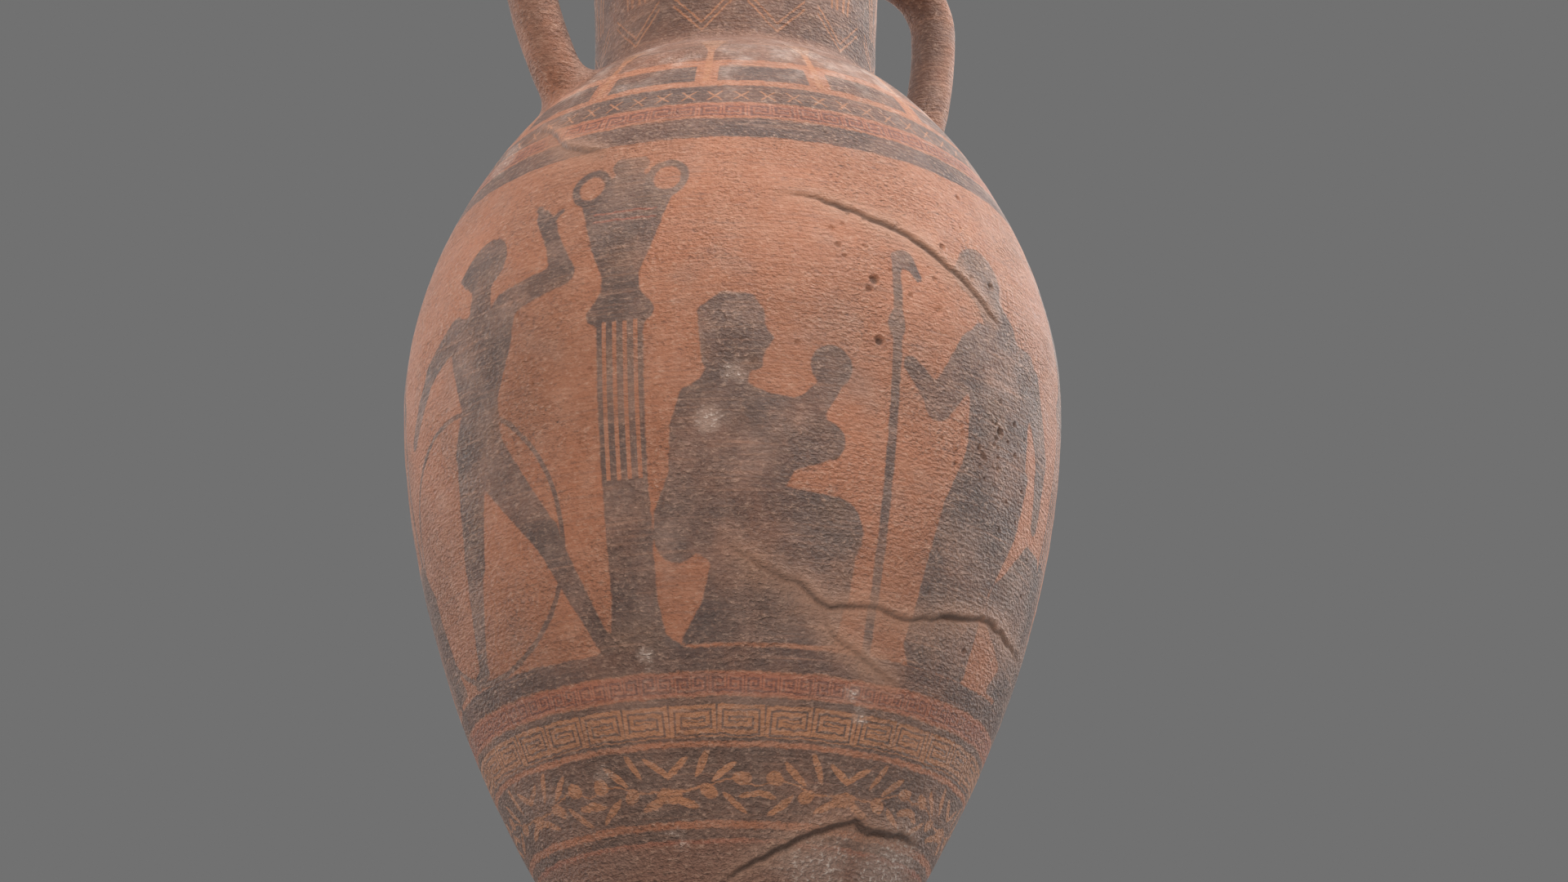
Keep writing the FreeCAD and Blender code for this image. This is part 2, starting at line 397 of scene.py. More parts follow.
# ------------------------ painted silhouettes

def segment(p, a, b):
    """(share, distance): how far along the segment from a to b points are, and how far from it."""
    share = np.clip(((p - a) @ (b - a)) / ((b - a) @ (b - a)), 0, 1)
    return share, np.linalg.norm(p - a - share[:, None] * (b - a), axis=1)


def limb(p, start, start_radius, end, end_radius):
    """Distance to a tapered limb."""
    share, distance = segment(p, np.array(start, float), np.array(end, float))
    return distance - (start_radius + share * (end_radius - start_radius))


def oval(p, centre, rx, ry):
    """Distance to an oval, about."""
    q = (p - np.array(centre, float)) / (rx, ry)
    return (np.linalg.norm(q, axis=1) - 1) * min(rx, ry)


def polygon(p, *corners, rounding=1.0):
    """Distance to a closed shape with the given corners, slightly rounded."""
    v = np.array(corners, float)
    distance = np.full(len(p), 1e9)
    inside = np.zeros(len(p), bool)
    for a, b in zip(v, np.roll(v, -1, axis=0)):
        distance = np.minimum(distance, segment(p, a, b)[1])
        crosses = (a[1] > p[:, 1]) != (b[1] > p[:, 1])
        with np.errstate(divide="ignore", invalid="ignore"):
            x = a[0] + (p[:, 1] - a[1]) * (b[0] - a[0]) / (b[1] - a[1])
        inside ^= crosses & (p[:, 0] < x)
    return np.where(inside, -distance, distance) - rounding


def join(*shapes, blend=2.5):
    """Union of shapes with softly filled corners."""
    total = shapes[0]
    for shape in shapes[1:]:
        h = np.clip(0.5 + 0.5 * (shape - total) / blend, 0, 1)
        total = shape * (1 - h) + total * h - blend * h * (1 - h)
    return total


def mirrored_outline(*half):
    """Corners of a symmetrical shape from its right half, bottom to top."""
    return list(half) + [(-x, y) for x, y in reversed(half)]


def runner(p):
    """A youth with legs astride and head turned to the left, who lifts one arm."""
    head = join(oval(p, (0, 176), 13, 13), polygon(p, (-11, 182), (-16.5, 174), (-11, 169)), blend=1.5)
    torso = polygon(p, (-21, 152), (-17, 130), (-12, 112), (-19, 94), (9, 88), (10, 112), (18, 132),
                    (22, 152))
    raised = join(limb(p, (15, 152), 6.5, (46, 159), 5.4), limb(p, (46, 159), 5.4, (37, 180), 3.4),
                  limb(p, (36, 182), 4.0, (31, 190), 3.6), limb(p, (31, 190), 2.2, (27, 196), 1.5),
                  limb(p, (34, 186), 1.8, (40, 191), 1.3), blend=2)
    trailing = join(limb(p, (-17, 149), 7, (-40, 138), 5), limb(p, (-40, 138), 5, (-62, 114), 3.4))
    back_leg = join(limb(p, (-9, 92), 10, (-17, 48), 7), limb(p, (-17, 48), 6.5, (-27, 9), 3.4),
                    limb(p, (-27, 6), 3.2, (-36, 3), 2.6))
    front_leg = join(limb(p, (0, 90), 11.5, (27, 50), 7), limb(p, (27, 50), 6.5, (42, 8), 3.6),
                     limb(p, (43, 5), 3.6, (53, 2), 2.6))
    neck = limb(p, (0, 166), 6, (0, 152), 7)
    return join(head, neck, torso, raised, trailing, back_leg, front_leg)


def urn_column(p):
    """A fluted column that carries a two-handled urn."""
    shaft = polygon(p, *mirrored_outline((20, -2), (11.5, 5), (9.4, 18), (9.4, 66), (9.8, 131), (14, 134.5),
                                         (14.5, 137.5), (7, 147)), rounding=0.5)
    urn = polygon(p, *mirrored_outline((7.5, 144), (7.5, 154), (12, 165), (18, 186), (19.5, 191), (9.5, 194),
                                       (8, 201), (5, 205), (8, 209), (6, 213)), rounding=0.8)
    rings = [np.abs(oval(p, (side * 17, 200), 7.6, 8.2)) - 1.7 for side in (-1, 1)]
    return join(shaft, urn, *rings, blend=1.5)


def seated(p):
    """A draped figure who sits and holds up a round fruit."""
    hair = polygon(p, (-10, 113), (-12, 134), (-4, 140), (6, 139), (10, 133), (9, 112), rounding=3)
    face = polygon(p, (8, 132), (15.5, 123), (12, 117), (8, 113))
    neck = limb(p, (-1, 116), 8, (-4, 100), 10)
    torso = polygon(p, (-19, 99), (-23, 86), (-23, 68), (-29, 52), (10, 50), (24, 72), (18, 94), (6, 100),
                    (-10, 104), rounding=3)
    arms = join(limb(p, (12, 92), 8, (30, 91), 7), limb(p, (30, 92), 7, (40, 104), 4.5),
                limb(p, (12, 76), 11, (39, 82), 8))
    fruit = oval(p, (41, 113), 9, 9)
    seat = oval(p, (-22, 45), 10.5, 13)
    lap = limb(p, (-4, 48), 16, (42, 47), 13)
    robe = polygon(p, (-6, 36), (50, 40), (47, 22), (40, 4), (-18, 3), (-10, 16), rounding=2)
    return join(hair, face, neck, torso, arms, fruit, seat, lap, robe, blend=2)


def staff(p):
    """A tall staff with a curled top."""
    curl = join(oval(p, (3.5, 167), 5.2, 4.6), limb(p, (6, 166), 3, (10, 160), 2), blend=1.5)
    return join(limb(p, (0, 0), 2.0, (-0.5, 168), 2.2), curl, oval(p, (-1, 136), 4.2, 6), blend=1.5)


def standing(p):
    """A cloaked figure who reaches forward, with the cloak falling behind."""
    head = join(oval(p, (-12, 171), 13.5, 14), polygon(p, (-23, 176), (-29, 168), (-23, 162)), blend=1.5)
    neck = limb(p, (-8, 160), 8, (2, 148), 10)
    torso = polygon(p, (-20, 138), (-14, 146), (24, 144), (26, 132), (22, 112), (24, 88), (-14, 88),
                    (-16, 112), rounding=3)
    forward = join(limb(p, (-18, 134), 9, (-36, 106), 7), limb(p, (-36, 106), 6, (-52, 120), 3.6))
    behind = join(limb(p, (26, 134), 9, (43, 104), 6.5), limb(p, (43, 104), 6.5, (44, 76), 4))
    robe = polygon(p, (-15, 92), (-24, 66), (-27, 40), (-28, 8), (-24, 2), (8, 2), (10, 38), (24, 66),
                   (28, 92), rounding=2)
    cloak = polygon(p, (16, 40), (40, 64), (58, 64), (68, 46), (66, 4), (34, 4), (42, 14), (14, 30),
                    rounding=2)
    return join(head, neck, torso, forward, behind, robe, cloak, blend=2)


GROUND = 159.0                # top of the painted ground line that the figures stand on
FIELD_TOP = 381.5             # the pictures end here, under a dark band

# What is painted where: silhouette, azimuth of its middle, and 1 or -1 to mirror it.
COLUMN_AZIMUTHS = [-52.4, 46.0, 116.0, -172.0]
RUNNERS = [(-80.3, 1), (148.0, -1)]
PICTURES = [
    *[(urn_column, at, 1) for at in COLUMN_AZIMUTHS],
    *[(runner, at, flip) for at, flip in RUNNERS],
    (seated, -34.0, 1),
    (staff, -6.6, 1),
    (standing, 16.0, 1),
    (standing, 82.0, -1),
    (standing, -137.0, 1),
    (staff, -113.0, -1),
]


def silhouettes(points):
    """Distance to the nearest painted figure, in millimetres along the surface."""
    azimuth = np.arctan2(points[:, 0], -points[:, 1])
    nearest = np.full(len(points), 30.0)
    in_field = (points[:, 2] > GROUND - 10) & (points[:, 2] < FIELD_TOP + 4)
    for figure, at, flip in PICTURES:
        turn = (azimuth - math.radians(at) + math.pi) % (2 * math.pi) - math.pi
        across = turn * outside_radius(points[:, 2])
        near = np.flatnonzero((np.abs(across) < 80) & in_field)
        if len(near):
            local = np.stack([across[near] * flip, points[near, 2] - GROUND], 1)
            nearest[near] = np.minimum(nearest[near], figure(local))
    return nearest


# ------------------------ turned pieces

class Strip:
    """One stretch of a turned piece's outline. kind is outside, inside or hidden."""

    def __init__(self, curve, kind="hidden", row=None):
        self.curve = np.asarray(curve, float)
        self.kind = kind
        self.row = row or {"outside": ROW, "inside": INSIDE_ROW, "hidden": 12.0}[kind]


def hidden(*corners):
    """Straight strips from corner to corner, where a piece lies against other clay."""
    return [Strip(line(start, end)) for start, end in zip(corners, corners[1:])]


class Outline:
    """A turned piece's outline, followed so that clay is on the left of the direction of travel."""

    def __init__(self, *strips):
        self.strips = strips
        self.marks = [0.0]
        self.tables = []
        for strip in strips:
            steps = np.linalg.norm(np.diff(strip.curve, axis=0), axis=1)
            s = self.marks[-1] + np.concatenate([[0], np.cumsum(steps)])
            self.tables.append((s, strip.curve[:, 0], strip.curve[:, 1]))
            self.marks.append(s[-1])
        self.length = self.marks[-1]
        self.whole = [np.concatenate([table[i] for table in self.tables]) for i in range(3)]
        self.ends_on_axis = self.whole[1][-1] < 0.01

    def rows(self):
        """Positions along the outline where mesh rows go."""
        found = []
        for strip, start, end in zip(self.strips, self.marks, self.marks[1:]):
            count = max(1, round((end - start) / strip.row))
            found += list(np.linspace(start, end, count + 1)[:-1])
        return np.array(found)

    def anywhere(self, s):
        """Radius and height at positions s on the whole outline."""
        return np.interp(s, self.whole[0], self.whole[1]), np.interp(s, self.whole[0], self.whole[2])

    def on_strip(self, k, s):
        """Positions s as strip k counts them, where a closed outline ends where it began."""
        return np.where(s < self.marks[k] - 1e-6, s + self.length, s)

    def at(self, k, s):
        """Radius and height on strip k at positions s."""
        along, radius, height = self.tables[k]
        return np.interp(s, along, radius), np.interp(s, along, height)

    def normal(self, k, s):
        """Outward (radius, height) directions on strip k, rounded off over its corners."""
        ahead = np.stack(self.at(k, s + 0.6), -1)
        behind = np.stack(self.at(k, s - 0.6), -1)
        along = ahead - behind
        along /= np.linalg.norm(along, axis=-1, keepdims=True) + 1e-12
        return np.stack([along[..., 1], -along[..., 0]], -1)


def strip_surface(outline, k, azimuth, s):
    """Points of the worked surface on strip k of an outline."""
    ideal = around(azimuth, *outline.at(k, s))
    kind = outline.strips[k].kind
    if kind == "hidden":
        return ideal
    relief = outside_relief(ideal) if kind == "outside" else clay_relief(ideal)
    return ideal + around(azimuth, *outline.normal(k, s).T) * relief[:, None]


def strip_normals(outline, k, azimuth, s):
    """Exact normals of the worked surface, so that neighbouring pieces shade as one."""
    start, end = outline.marks[k], outline.marks[k + 1]
    reach = 0.45
    r, _ = outline.at(k, s)
    turn = reach / np.maximum(r, 2.0)
    across = strip_surface(outline, k, azimuth + turn, s) - strip_surface(outline, k, azimuth - turn, s)
    above = strip_surface(outline, k, azimuth, np.clip(s + reach, start, end))
    below = strip_surface(outline, k, azimuth, np.clip(s - reach, start, end))
    return unit(np.cross(across, above - below))


def fineness(points):
    """The mesh size the outside needs at each point, in millimetres."""
    size = np.full(len(points), 9.0)
    size[np.abs(silhouettes(points)) < 1.7] = EDGE_CELL
    _, _, halo = crack_fields(points)
    size[(halo > 0.45) | (np.abs(pit_field(points)) > 0.03)] = DAMAGE_CELL
    return size


def place(bm, s_layer):
    """Azimuths, outline positions and coordinates of a mesh's vertices, as arrays."""
    co = np.array([v.co for v in bm.verts])
    s = np.array([v[s_layer] for v in bm.verts])
    return np.arctan2(co[:, 0], -co[:, 1]), s, co


def turned_grid(outline, bm, s_layer, k_layer):
    """The even mesh of a turned piece, row by row round the jar's axis."""
    rows = outline.rows()
    strip_of_row = np.searchsorted(outline.marks, rows + 1e-6) - 1
    if outline.ends_on_axis:
        rows = np.append(rows, outline.length)
    turns = np.linspace(-math.pi, math.pi, COLUMNS, endpoint=False)
    rings = []
    for s, r, z in zip(rows, *outline.anywhere(rows)):
        ring = [bm.verts.new((r * math.sin(turn), -r * math.cos(turn), z))
                for turn in (turns if r > 0.01 else turns[:1])]
        for vert in ring:
            vert[s_layer] = s
        rings.append(ring)
    uppers = rings[1:] if outline.ends_on_axis else rings[1:] + rings[:1]
    for k, low, high in zip(strip_of_row, rings, uppers):
        for j in range(COLUMNS):
            i = (j + 1) % COLUMNS
            corners = [low[j % len(low)], low[i % len(low)], high[i % len(high)], high[j % len(high)]]
            face = bm.faces.new(list(dict.fromkeys(corners)))
            face[k_layer] = int(k)
            face.smooth = True


def refine(outline, bm, s_layer, k_layer):
    """Halves the outside's cells, again and again, where cracks, pits and painted edges need it."""
    outside = [k for k, strip in enumerate(outline.strips) if strip.kind == "outside"]
    cell = ROW
    while cell > DAMAGE_CELL:
        bm.verts.index_update()
        _, _, co = place(bm, s_layer)
        wanted = fineness(co)
        chosen = [face for face in bm.faces if face[k_layer] in outside and len(face.verts) == 4
                  and min(wanted[vert.index] for vert in face.verts) < cell * 0.99]
        edges = {edge for face in chosen for edge in face.edges}
        if not edges:
            break
        bmesh.ops.subdivide_edges(bm, edges=list(edges), cuts=1, use_grid_fill=True)
        cell /= 2
        azimuth, s, _ = place(bm, s_layer)
        for vert, at in zip(bm.verts, around(azimuth, *outline.anywhere(s)).tolist()):
            vert.co = at


def turned_mesh(outline, name):
    """The mesh of a turned piece, finer where it is cracked, pitted or has painted edges."""
    bm = bmesh.new()
    s_layer = bm.verts.layers.float.new("s")
    k_layer = bm.faces.layers.int.new("strip")
    turned_grid(outline, bm, s_layer, k_layer)
    refine(outline, bm, s_layer, k_layer)
    return shaped(bm, outline, name, s_layer, k_layer)


def shaped(bm, outline, name, s_layer, k_layer):
    """Moves a turned mesh to its worked surface and gives it exact normals and paint distances."""
    bm.verts.index_update()
    azimuth, s, ideal = place(bm, s_layer)
    members = [set() for _ in outline.strips]
    for face in bm.faces:
        members[face[k_layer]].update(vert.index for vert in face.verts)
    final = ideal.copy()
    rank = {"hidden": 0, "inside": 1, "outside": 2}
    best = np.full(len(ideal), -1)
    normals = np.zeros((len(outline.strips), len(ideal), 3))
    for k, strip in enumerate(outline.strips):
        index = np.array(sorted(members[k]), int)
        along = outline.on_strip(k, s[index])
        normals[k, index] = strip_normals(outline, k, azimuth[index], along)
        better = best[index] < rank[strip.kind]
        final[index[better]] = strip_surface(outline, k, azimuth[index[better]], along[better])
        best[index[better]] = rank[strip.kind]
    mesh = bpy.data.meshes.new(name)
    bm.to_mesh(mesh)
    strip_of_face = np.array([face[k_layer] for face in bm.faces])
    bm.free()
    mesh.vertices.foreach_set("co", (final * MM).ravel())
    loops = np.empty(len(mesh.loops), int)
    mesh.loops.foreach_get("vertex_index", loops)
    corners = np.empty(len(mesh.polygons), int)
    mesh.polygons.foreach_get("loop_total", corners)
    mesh.update()
    mesh.normals_split_custom_set(normals[np.repeat(strip_of_face, corners), loops].tolist())
    outside = np.array([strip.kind == "outside" for strip in outline.strips])
    add_attributes(mesh, ideal, outside[strip_of_face])
    return mesh


def add_attributes(mesh, ideal, painted=None):
    """Stores what the shaders need: distance to the paintings, damage, and which faces are painted."""
    groove, _, halo = crack_fields(ideal)
    fields = {
        "figure": silhouettes(ideal),
        "groove": groove + np.maximum(pit_field(ideal), 0),
        "halo": halo,
        # rubbed: paint rubbed pale by wear, together with painted highlights
        "rubbed": rubbed_and_highlit_field(ideal),
    }
    for name, values in fields.items():
        layer = mesh.attributes.new(name, "FLOAT", "POINT")
        layer.data.foreach_set("value", values.astype(np.float32))
    if painted is None:
        painted = np.ones(len(mesh.polygons))
    layer = mesh.attributes.new("painted", "FLOAT", "FACE")
    layer.data.foreach_set("value", painted.astype(np.float32))


def sheet_mesh(name, surface, u_count, v_count, buried=0):
    """A mesh over surface(u, v), closed round u. Its last `buried` rows of v close it in the clay."""
    u, v = np.meshgrid(np.arange(u_count), np.arange(v_count))
    u, v = u.ravel(), v.ravel()
    co = surface(u, v)
    normals = unit(np.cross(surface(u + 0.2, v) - surface(u - 0.2, v),
                            surface(u, np.minimum(v + 0.2, v_count - 1 - buried))
                            - surface(u, np.maximum(v - 0.2, 0))))
    normals[v > v_count - 1 - buried] = 0
    faces = []
    for row in range(v_count if buried else v_count - 1):
        for column in range(u_count):
            beside = (column + 1) % u_count
            above = (row + 1) % v_count
            faces.append((row * u_count + column, row * u_count + beside,
                          above * u_count + beside, above * u_count + column))
    if not buried:
        faces.append(tuple(range(u_count - 1, -1, -1)))
        faces.append(tuple(range((v_count - 1) * u_count, v_count * u_count)))
    mesh = bpy.data.meshes.new(name)
    mesh.from_pydata((co * MM).tolist(), [], faces)
    mesh.polygons.foreach_set("use_smooth", [len(face) == 4 for face in faces])
    loops = np.empty(len(mesh.loops), int)
    mesh.loops.foreach_get("vertex_index", loops)
    mesh.update()
    loop_normals = normals[loops]
    if not buried:
        loop_normals[-2 * u_count:] = 0
    mesh.normals_split_custom_set(loop_normals.tolist())
    add_attributes(mesh, co)
    return mesh


# ------------------------ handles and their roots

ROD_COLUMNS = 64
ROD_ROWS = 96
PATH_STEPS = 2400


def rod_path():
    """Centre line of the +X handle from the shoulder to the neck, with its outward directions."""
    shank = np.radians(np.linspace(-SHANK_ANGLE, 0, PATH_STEPS // 2, endpoint=False))
    elbow = np.radians(np.linspace(0, 90, PATH_STEPS // 4, endpoint=False))
    run = np.linspace(ELBOW_R - ELBOW_ARC, NECK_ROOT_R - WALL / 2, PATH_STEPS // 4)

    def arc(radius, angle):
        centre = np.array([ELBOW_R - radius, ELBOW_Z])
        return centre + radius * np.stack([np.cos(angle), np.sin(angle)], -1)

    points = np.vstack([arc(SHANK_ARC, shank), arc(ELBOW_ARC, elbow),
                        np.stack([run, np.full_like(run, CROWN_Z)], -1)])
    tangent = unit(np.gradient(points, axis=0))
    outward = np.stack([tangent[:, 1], -tangent[:, 0]], -1)
    return points, outward


ROD_CENTRE, ROD_OUT = rod_path()


def rod_point(step, column, side, proud=0.0):
    """A point on the rod's oval outside: step along the path, column round it, on side +X or -X."""
    step = np.clip(step, 0, len(ROD_CENTRE) - 1)
    whole = np.arange(len(ROD_CENTRE))
    centre = np.stack([np.interp(step, whole, ROD_CENTRE[:, i]) for i in (0, 1)], -1)
    out = np.stack([np.interp(step, whole, ROD_OUT[:, i]) for i in (0, 1)], -1)
    angle = 2 * math.pi * column / ROD_COLUMNS
    in_plane = centre + out * ((HANDLE_T + proud) * np.cos(angle))[..., None]
    across = (HANDLE_W + proud) * np.sin(angle)
    return np.stack([side * in_plane[..., 0], side * across, in_plane[..., 1]], -1)


def rod_relief(points):
    """A pulled clay strap's surface: long soft facets along it and small lumps."""
    return (0.55 * noise(points, (26, 26, 60), 11) + 0.28 * noise(points, 13, 12)
            + 0.10 * noise(points, 5, 13))


def depth_in_jar(points):
    """How far points are outside (positive) or inside (negative) the jar's surface, about."""
    r = np.hypot(points[..., 0], points[..., 1])
    return (r - outside_radius(points[..., 2])) * np.hypot(*outside_normal(points)[..., :2].T).T


def rod_ends():
    """For each column of the rod, the steps where it leaves the shoulder and enters the neck."""
    steps = np.arange(len(ROD_CENTRE), dtype=float)
    first, last = [], []
    for column in range(ROD_COLUMNS):
        outside = depth_in_jar(rod_point(steps, np.full_like(steps, column), 1)) > 0
        clear = np.flatnonzero(outside)
        middle = clear[np.argmin(np.abs(clear - len(steps) / 2))]
        first.append(middle - np.argmin(outside[:middle + 1][::-1]))
        last.append(middle + np.argmin(outside[middle:]))
    return np.array(first, float), np.array(last, float)


ROD_FIRST, ROD_LAST = rod_ends()
MM_PER_STEP = np.linalg.norm(np.diff(ROD_CENTRE, axis=0), axis=1).mean()


def wrapped(values, column):
    """values of the whole columns at any column position, going round."""
    position = np.mod(column, ROD_COLUMNS)
    return np.interp(position, np.arange(ROD_COLUMNS + 1), np.append(values, values[0]))


def handle_surface(side):
    """surface(u, v) of a handle, from just under the shoulder's surface to just inside the neck."""
    bury = 2.5 / MM_PER_STEP

    def surface(u, v):
        column = side * u
        first = wrapped(ROD_FIRST, column) - bury
        last = wrapped(ROD_LAST, column) + bury
        step = first + (last - first) * v / (ROD_ROWS - 1)
        ideal = rod_point(step, column, side)
        out = unit(rod_point(step, column, side, proud=1.0) - ideal)
        return ideal + out * rod_relief(ideal)[:, None]

    return surface


def onto_jar(points):
    """The nearest points on the jar's ideal outside."""
    for _ in range(6):
        points = points - outside_normal(points) * depth_in_jar(points)[..., None]
    return points


ROOT_ROWS = 12                # rows of a root's mesh. The last one is hidden in the clay


def root_surface(side, ends, radius, away):
    """surface(u, v) of the clay pressed round a handle's root, from the rod down to the jar.

    ends are the rod's steps at the jar's surface. away is 1 where later steps lead away from it.
    """
    visible_rows = ROOT_ROWS - 2

    def corner_at(column):
        return onto_jar(rod_point(wrapped(ends, column), column, side))

    def surface(u, v):
        column = -side * away * u
        step = wrapped(ends, column)
        corner = corner_at(column)
        foot = rod_point(step, column, side)
        rod_out = unit(rod_point(step, column, side, proud=1.0) - foot)
        on_rod = unit(rod_point(step + away * 20, column, side) - foot)
        jar_out = outside_normal(corner)
        on_jar = unit(np.cross(corner_at(column + 0.5) - corner_at(column - 0.5), jar_out))
        on_jar *= np.sign(np.sum(on_jar * rod_out, axis=1))[:, None]
        opening = np.arccos(np.clip(np.sum(on_rod * on_jar, axis=1), -0.95, 0.95))
        leg = np.clip(radius / np.tan(opening / 2), radius * 0.5, radius * 1.7)
        high = rod_point(step + away * leg / MM_PER_STEP, column, side)
        high = high + rod_out * rod_relief(high)[:, None]
        low = onto_jar(corner + on_jar * leg[:, None])
        low = low + outside_normal(low) * outside_relief(low)[:, None]
        t = np.clip(v / visible_rows, 0, 1)[:, None]
        visible = (1 - t) ** 2 * high + 2 * t * (1 - t) * corner + t ** 2 * low
        skin = unit(jar_out + rod_out)
        swell = 0.5 * np.sin(math.pi * t) * rod_relief(visible)[:, None]
        return np.where((v > visible_rows)[:, None], corner - 1.2 * skin, visible + skin * swell)

    return surface


# ------------------------ the pieces

FINE = 1.4                    # mesh rows on the small turned pieces
SHOULDER_ROOT_FILLET = 9.0
NECK_ROOT_FILLET = 6.0


def lower_body_outline():
    outer = between(BODY, FOOT_TOP, BELLY_Z - LAP)
    inner = between(body_curve(WALL), FOOT_TOP + FLOOR, BELLY_Z + LAP)
    return Outline(
        *hidden((0, SOCKET), (BASE_R, SOCKET), (BASE_R, FOOT_TOP)),
        Strip(outer, "outside"),
        *hidden(outer[-1], (JOINT_R, outer[-1, 1]), (JOINT_R, inner[-1, 1]), inner[-1]),
        Strip(inner[::-1], "inside"),
        Strip(line(inner[0], (0, inner[0, 1])), "inside"),
    )


def upper_body_outline():
    inside = body_curve(WALL)
    outer = between(BODY, BELLY_Z - LAP, on_shoulder(BODY, NECK_TENON_R)[1])
    inner = between(inside, BELLY_Z + LAP, on_shoulder(inside, NECK_TENON_R)[1])
    return Outline(
        Strip(outer, "outside"),
        *hidden(outer[-1], inner[-1]),
        Strip(inner[::-1], "inside"),
        *hidden(inner[0], (JOINT_R, inner[0, 1]), (JOINT_R, outer[0, 1]), outer[0]),
    )


def neck_outline():
    outer = between(NECK, on_shoulder(BODY, NECK_ROOT_R)[1], NECK_TOP)
    passage = line((PASSAGE_R, neck_low[2]), (BORE_R, TENON_TOP))
    return Outline(
        *hidden(passage[0], (NECK_TENON_R, neck_low[2]), on_shoulder(BODY, NECK_TENON_R), outer[0]),
        Strip(outer, "outside", row=2.0),
        *hidden(outer[-1], (MOUTH_TENON_R, NECK_TOP), (MOUTH_TENON_R, TENON_TOP), passage[-1]),
        Strip(passage[::-1], "inside", row=4.0),
    )


def mouth_outline():
    edge, turn, lead, lead_width = 15.0, 4.0, 7.0, 5.0
    underside = (NECK_TOP_R + 1, NECK_TOP)
    rim = (MOUTH_R, MOUTH_TOP - turn)
    top_outer = (MOUTH_R - turn, MOUTH_TOP)
    top_inner = (BORE_R + lead_width, MOUTH_TOP)
    bore = (BORE_R, MOUTH_TOP - lead)
    shape = chain(
        bezier(underside, (MOUTH_R - turn, NECK_TOP + turn), (MOUTH_R, MOUTH_TOP - edge)),
        line((MOUTH_R, MOUTH_TOP - edge), rim),
        bezier(rim, (MOUTH_R, MOUTH_TOP), top_outer),
        line(top_outer, top_inner),
        bezier(top_inner, (BORE_R, MOUTH_TOP), bore),
        line(bore, (BORE_R, TENON_TOP)),
    )
    return Outline(
        *hidden((MOUTH_TENON_R, NECK_TOP), underside),
        Strip(shape, "outside", FINE),
        *hidden(shape[-1], (MOUTH_TENON_R, TENON_TOP), (MOUTH_TENON_R, NECK_TOP)),
    )


def foot_outline():
    hollow, ring_inner, ring_outer = 12.0, 50.0, 62.0
    hollow_r = (ring_inner ** 2 + hollow ** 2) / (2 * hollow)
    reach = np.linspace(0, math.asin(ring_inner / hollow_r), 80)
    dome = np.stack([hollow_r * np.sin(reach), hollow - hollow_r * (1 - np.cos(reach))], -1)
    shape = chain(
        dome,
        line((ring_inner, 0), (ring_outer, 0)),
        bulge((ring_outer, 0), (FOOT_R, FOOT_EDGE_Z), FOOT_CREST[0]),
        FOOT_CREST,
    )
    return Outline(
        Strip(shape, "outside", FINE),
        *hidden((BASE_R, FOOT_TOP), (BASE_R, SOCKET), (0, SOCKET)),
    )


def collar_outline(curve):
    """A ring of clay in a corner: curve is its visible side, and its back lies in the corner."""
    inner_r = min(curve[0, 0], curve[-1, 0]) - 1.0
    low = min(curve[0, 1], curve[-1, 1]) - 1.0
    return Outline(
        Strip(curve, "outside", FINE),
        *hidden(curve[-1], (inner_r, curve[-1, 1]), (inner_r, low), (curve[0, 0], low), curve[0]),
    )


def foot_fillet():
    """The concave outline of the clay between foot and body."""
    crest = at_radius(FOOT_CREST, foot_collar_high[0])
    return bezier(crest, (BASE_R, FOOT_TOP), at_height(BODY, foot_collar_high[2]))


# ------------------------ arithmetic inside materials

class Signal:
    """A number that varies over a surface, for ordinary arithmetic inside a material."""

    def __init__(self, tree, socket):
        self.tree = tree
        self.socket = socket

    def operate(self, operation, *values):
        node = self.tree.nodes.new("ShaderNodeMath")
        node.operation = operation
        for entry, value in zip(node.inputs, values):
            connect(self.tree, value, entry)
        return Signal(self.tree, node.outputs[0])

    def __add__(self, other):
        return self.operate("ADD", self, other)

    def __sub__(self, other):
        return self.operate("SUBTRACT", self, other)

    def __rsub__(self, other):
        return self.operate("SUBTRACT", other, self)

    def __mul__(self, other):
        return self.operate("MULTIPLY", self, other)

    def __truediv__(self, other):
        return self.operate("DIVIDE", self, other)

    def __mod__(self, other):
        return self.operate("FLOORED_MODULO", self, other)

    def __abs__(self):
        return self.operate("ABSOLUTE", self)

    __radd__ = __add__
    __rmul__ = __mul__

    def floor(self):
        return self.operate("FLOOR", self)

    def least(self, other):
        return self.operate("MINIMUM", self, other)

    def most(self, other):
        return self.operate("MAXIMUM", self, other)

    def length(self, other):
        """Length of the vector whose parts are this signal and the other."""
        return self.operate("SQRT", self * self + other * other)

    def rise(self, start, end):
        """0 up to start, 1 from end on, and smooth in between. start may be above end."""
        node = self.tree.nodes.new("ShaderNodeMapRange")
        node.interpolation_type = "SMOOTHSTEP"
        low, high = min(start, end), max(start, end)
        for name, value in (("From Min", low), ("From Max", high),
                            ("To Min", float(start > end)), ("To Max", float(start < end))):
            node.inputs[name].default_value = value
        connect(self.tree, self, node.inputs["Value"])
        return Signal(self.tree, node.outputs["Result"])

    def stripe(self, half_width, soft=0.35):
        """1 where this distance is within half_width of 0."""
        return abs(self).rise(half_width + soft, half_width - soft)


def union(*signals):
    """The greatest of several signals."""
    return functools.reduce(Signal.most, signals)


def connect(tree, value, entry):
    """Feeds a node's entry with a signal, another node's output or a fixed value."""
    if isinstance(value, Signal):
        value = value.socket
    if isinstance(value, bpy.types.NodeSocket):
        tree.links.new(value, entry)
    else:
        entry.default_value = value


def output(tree, kind, name):
    """The named output of a new node."""
    return tree.nodes.new("ShaderNode" + kind).outputs[name]


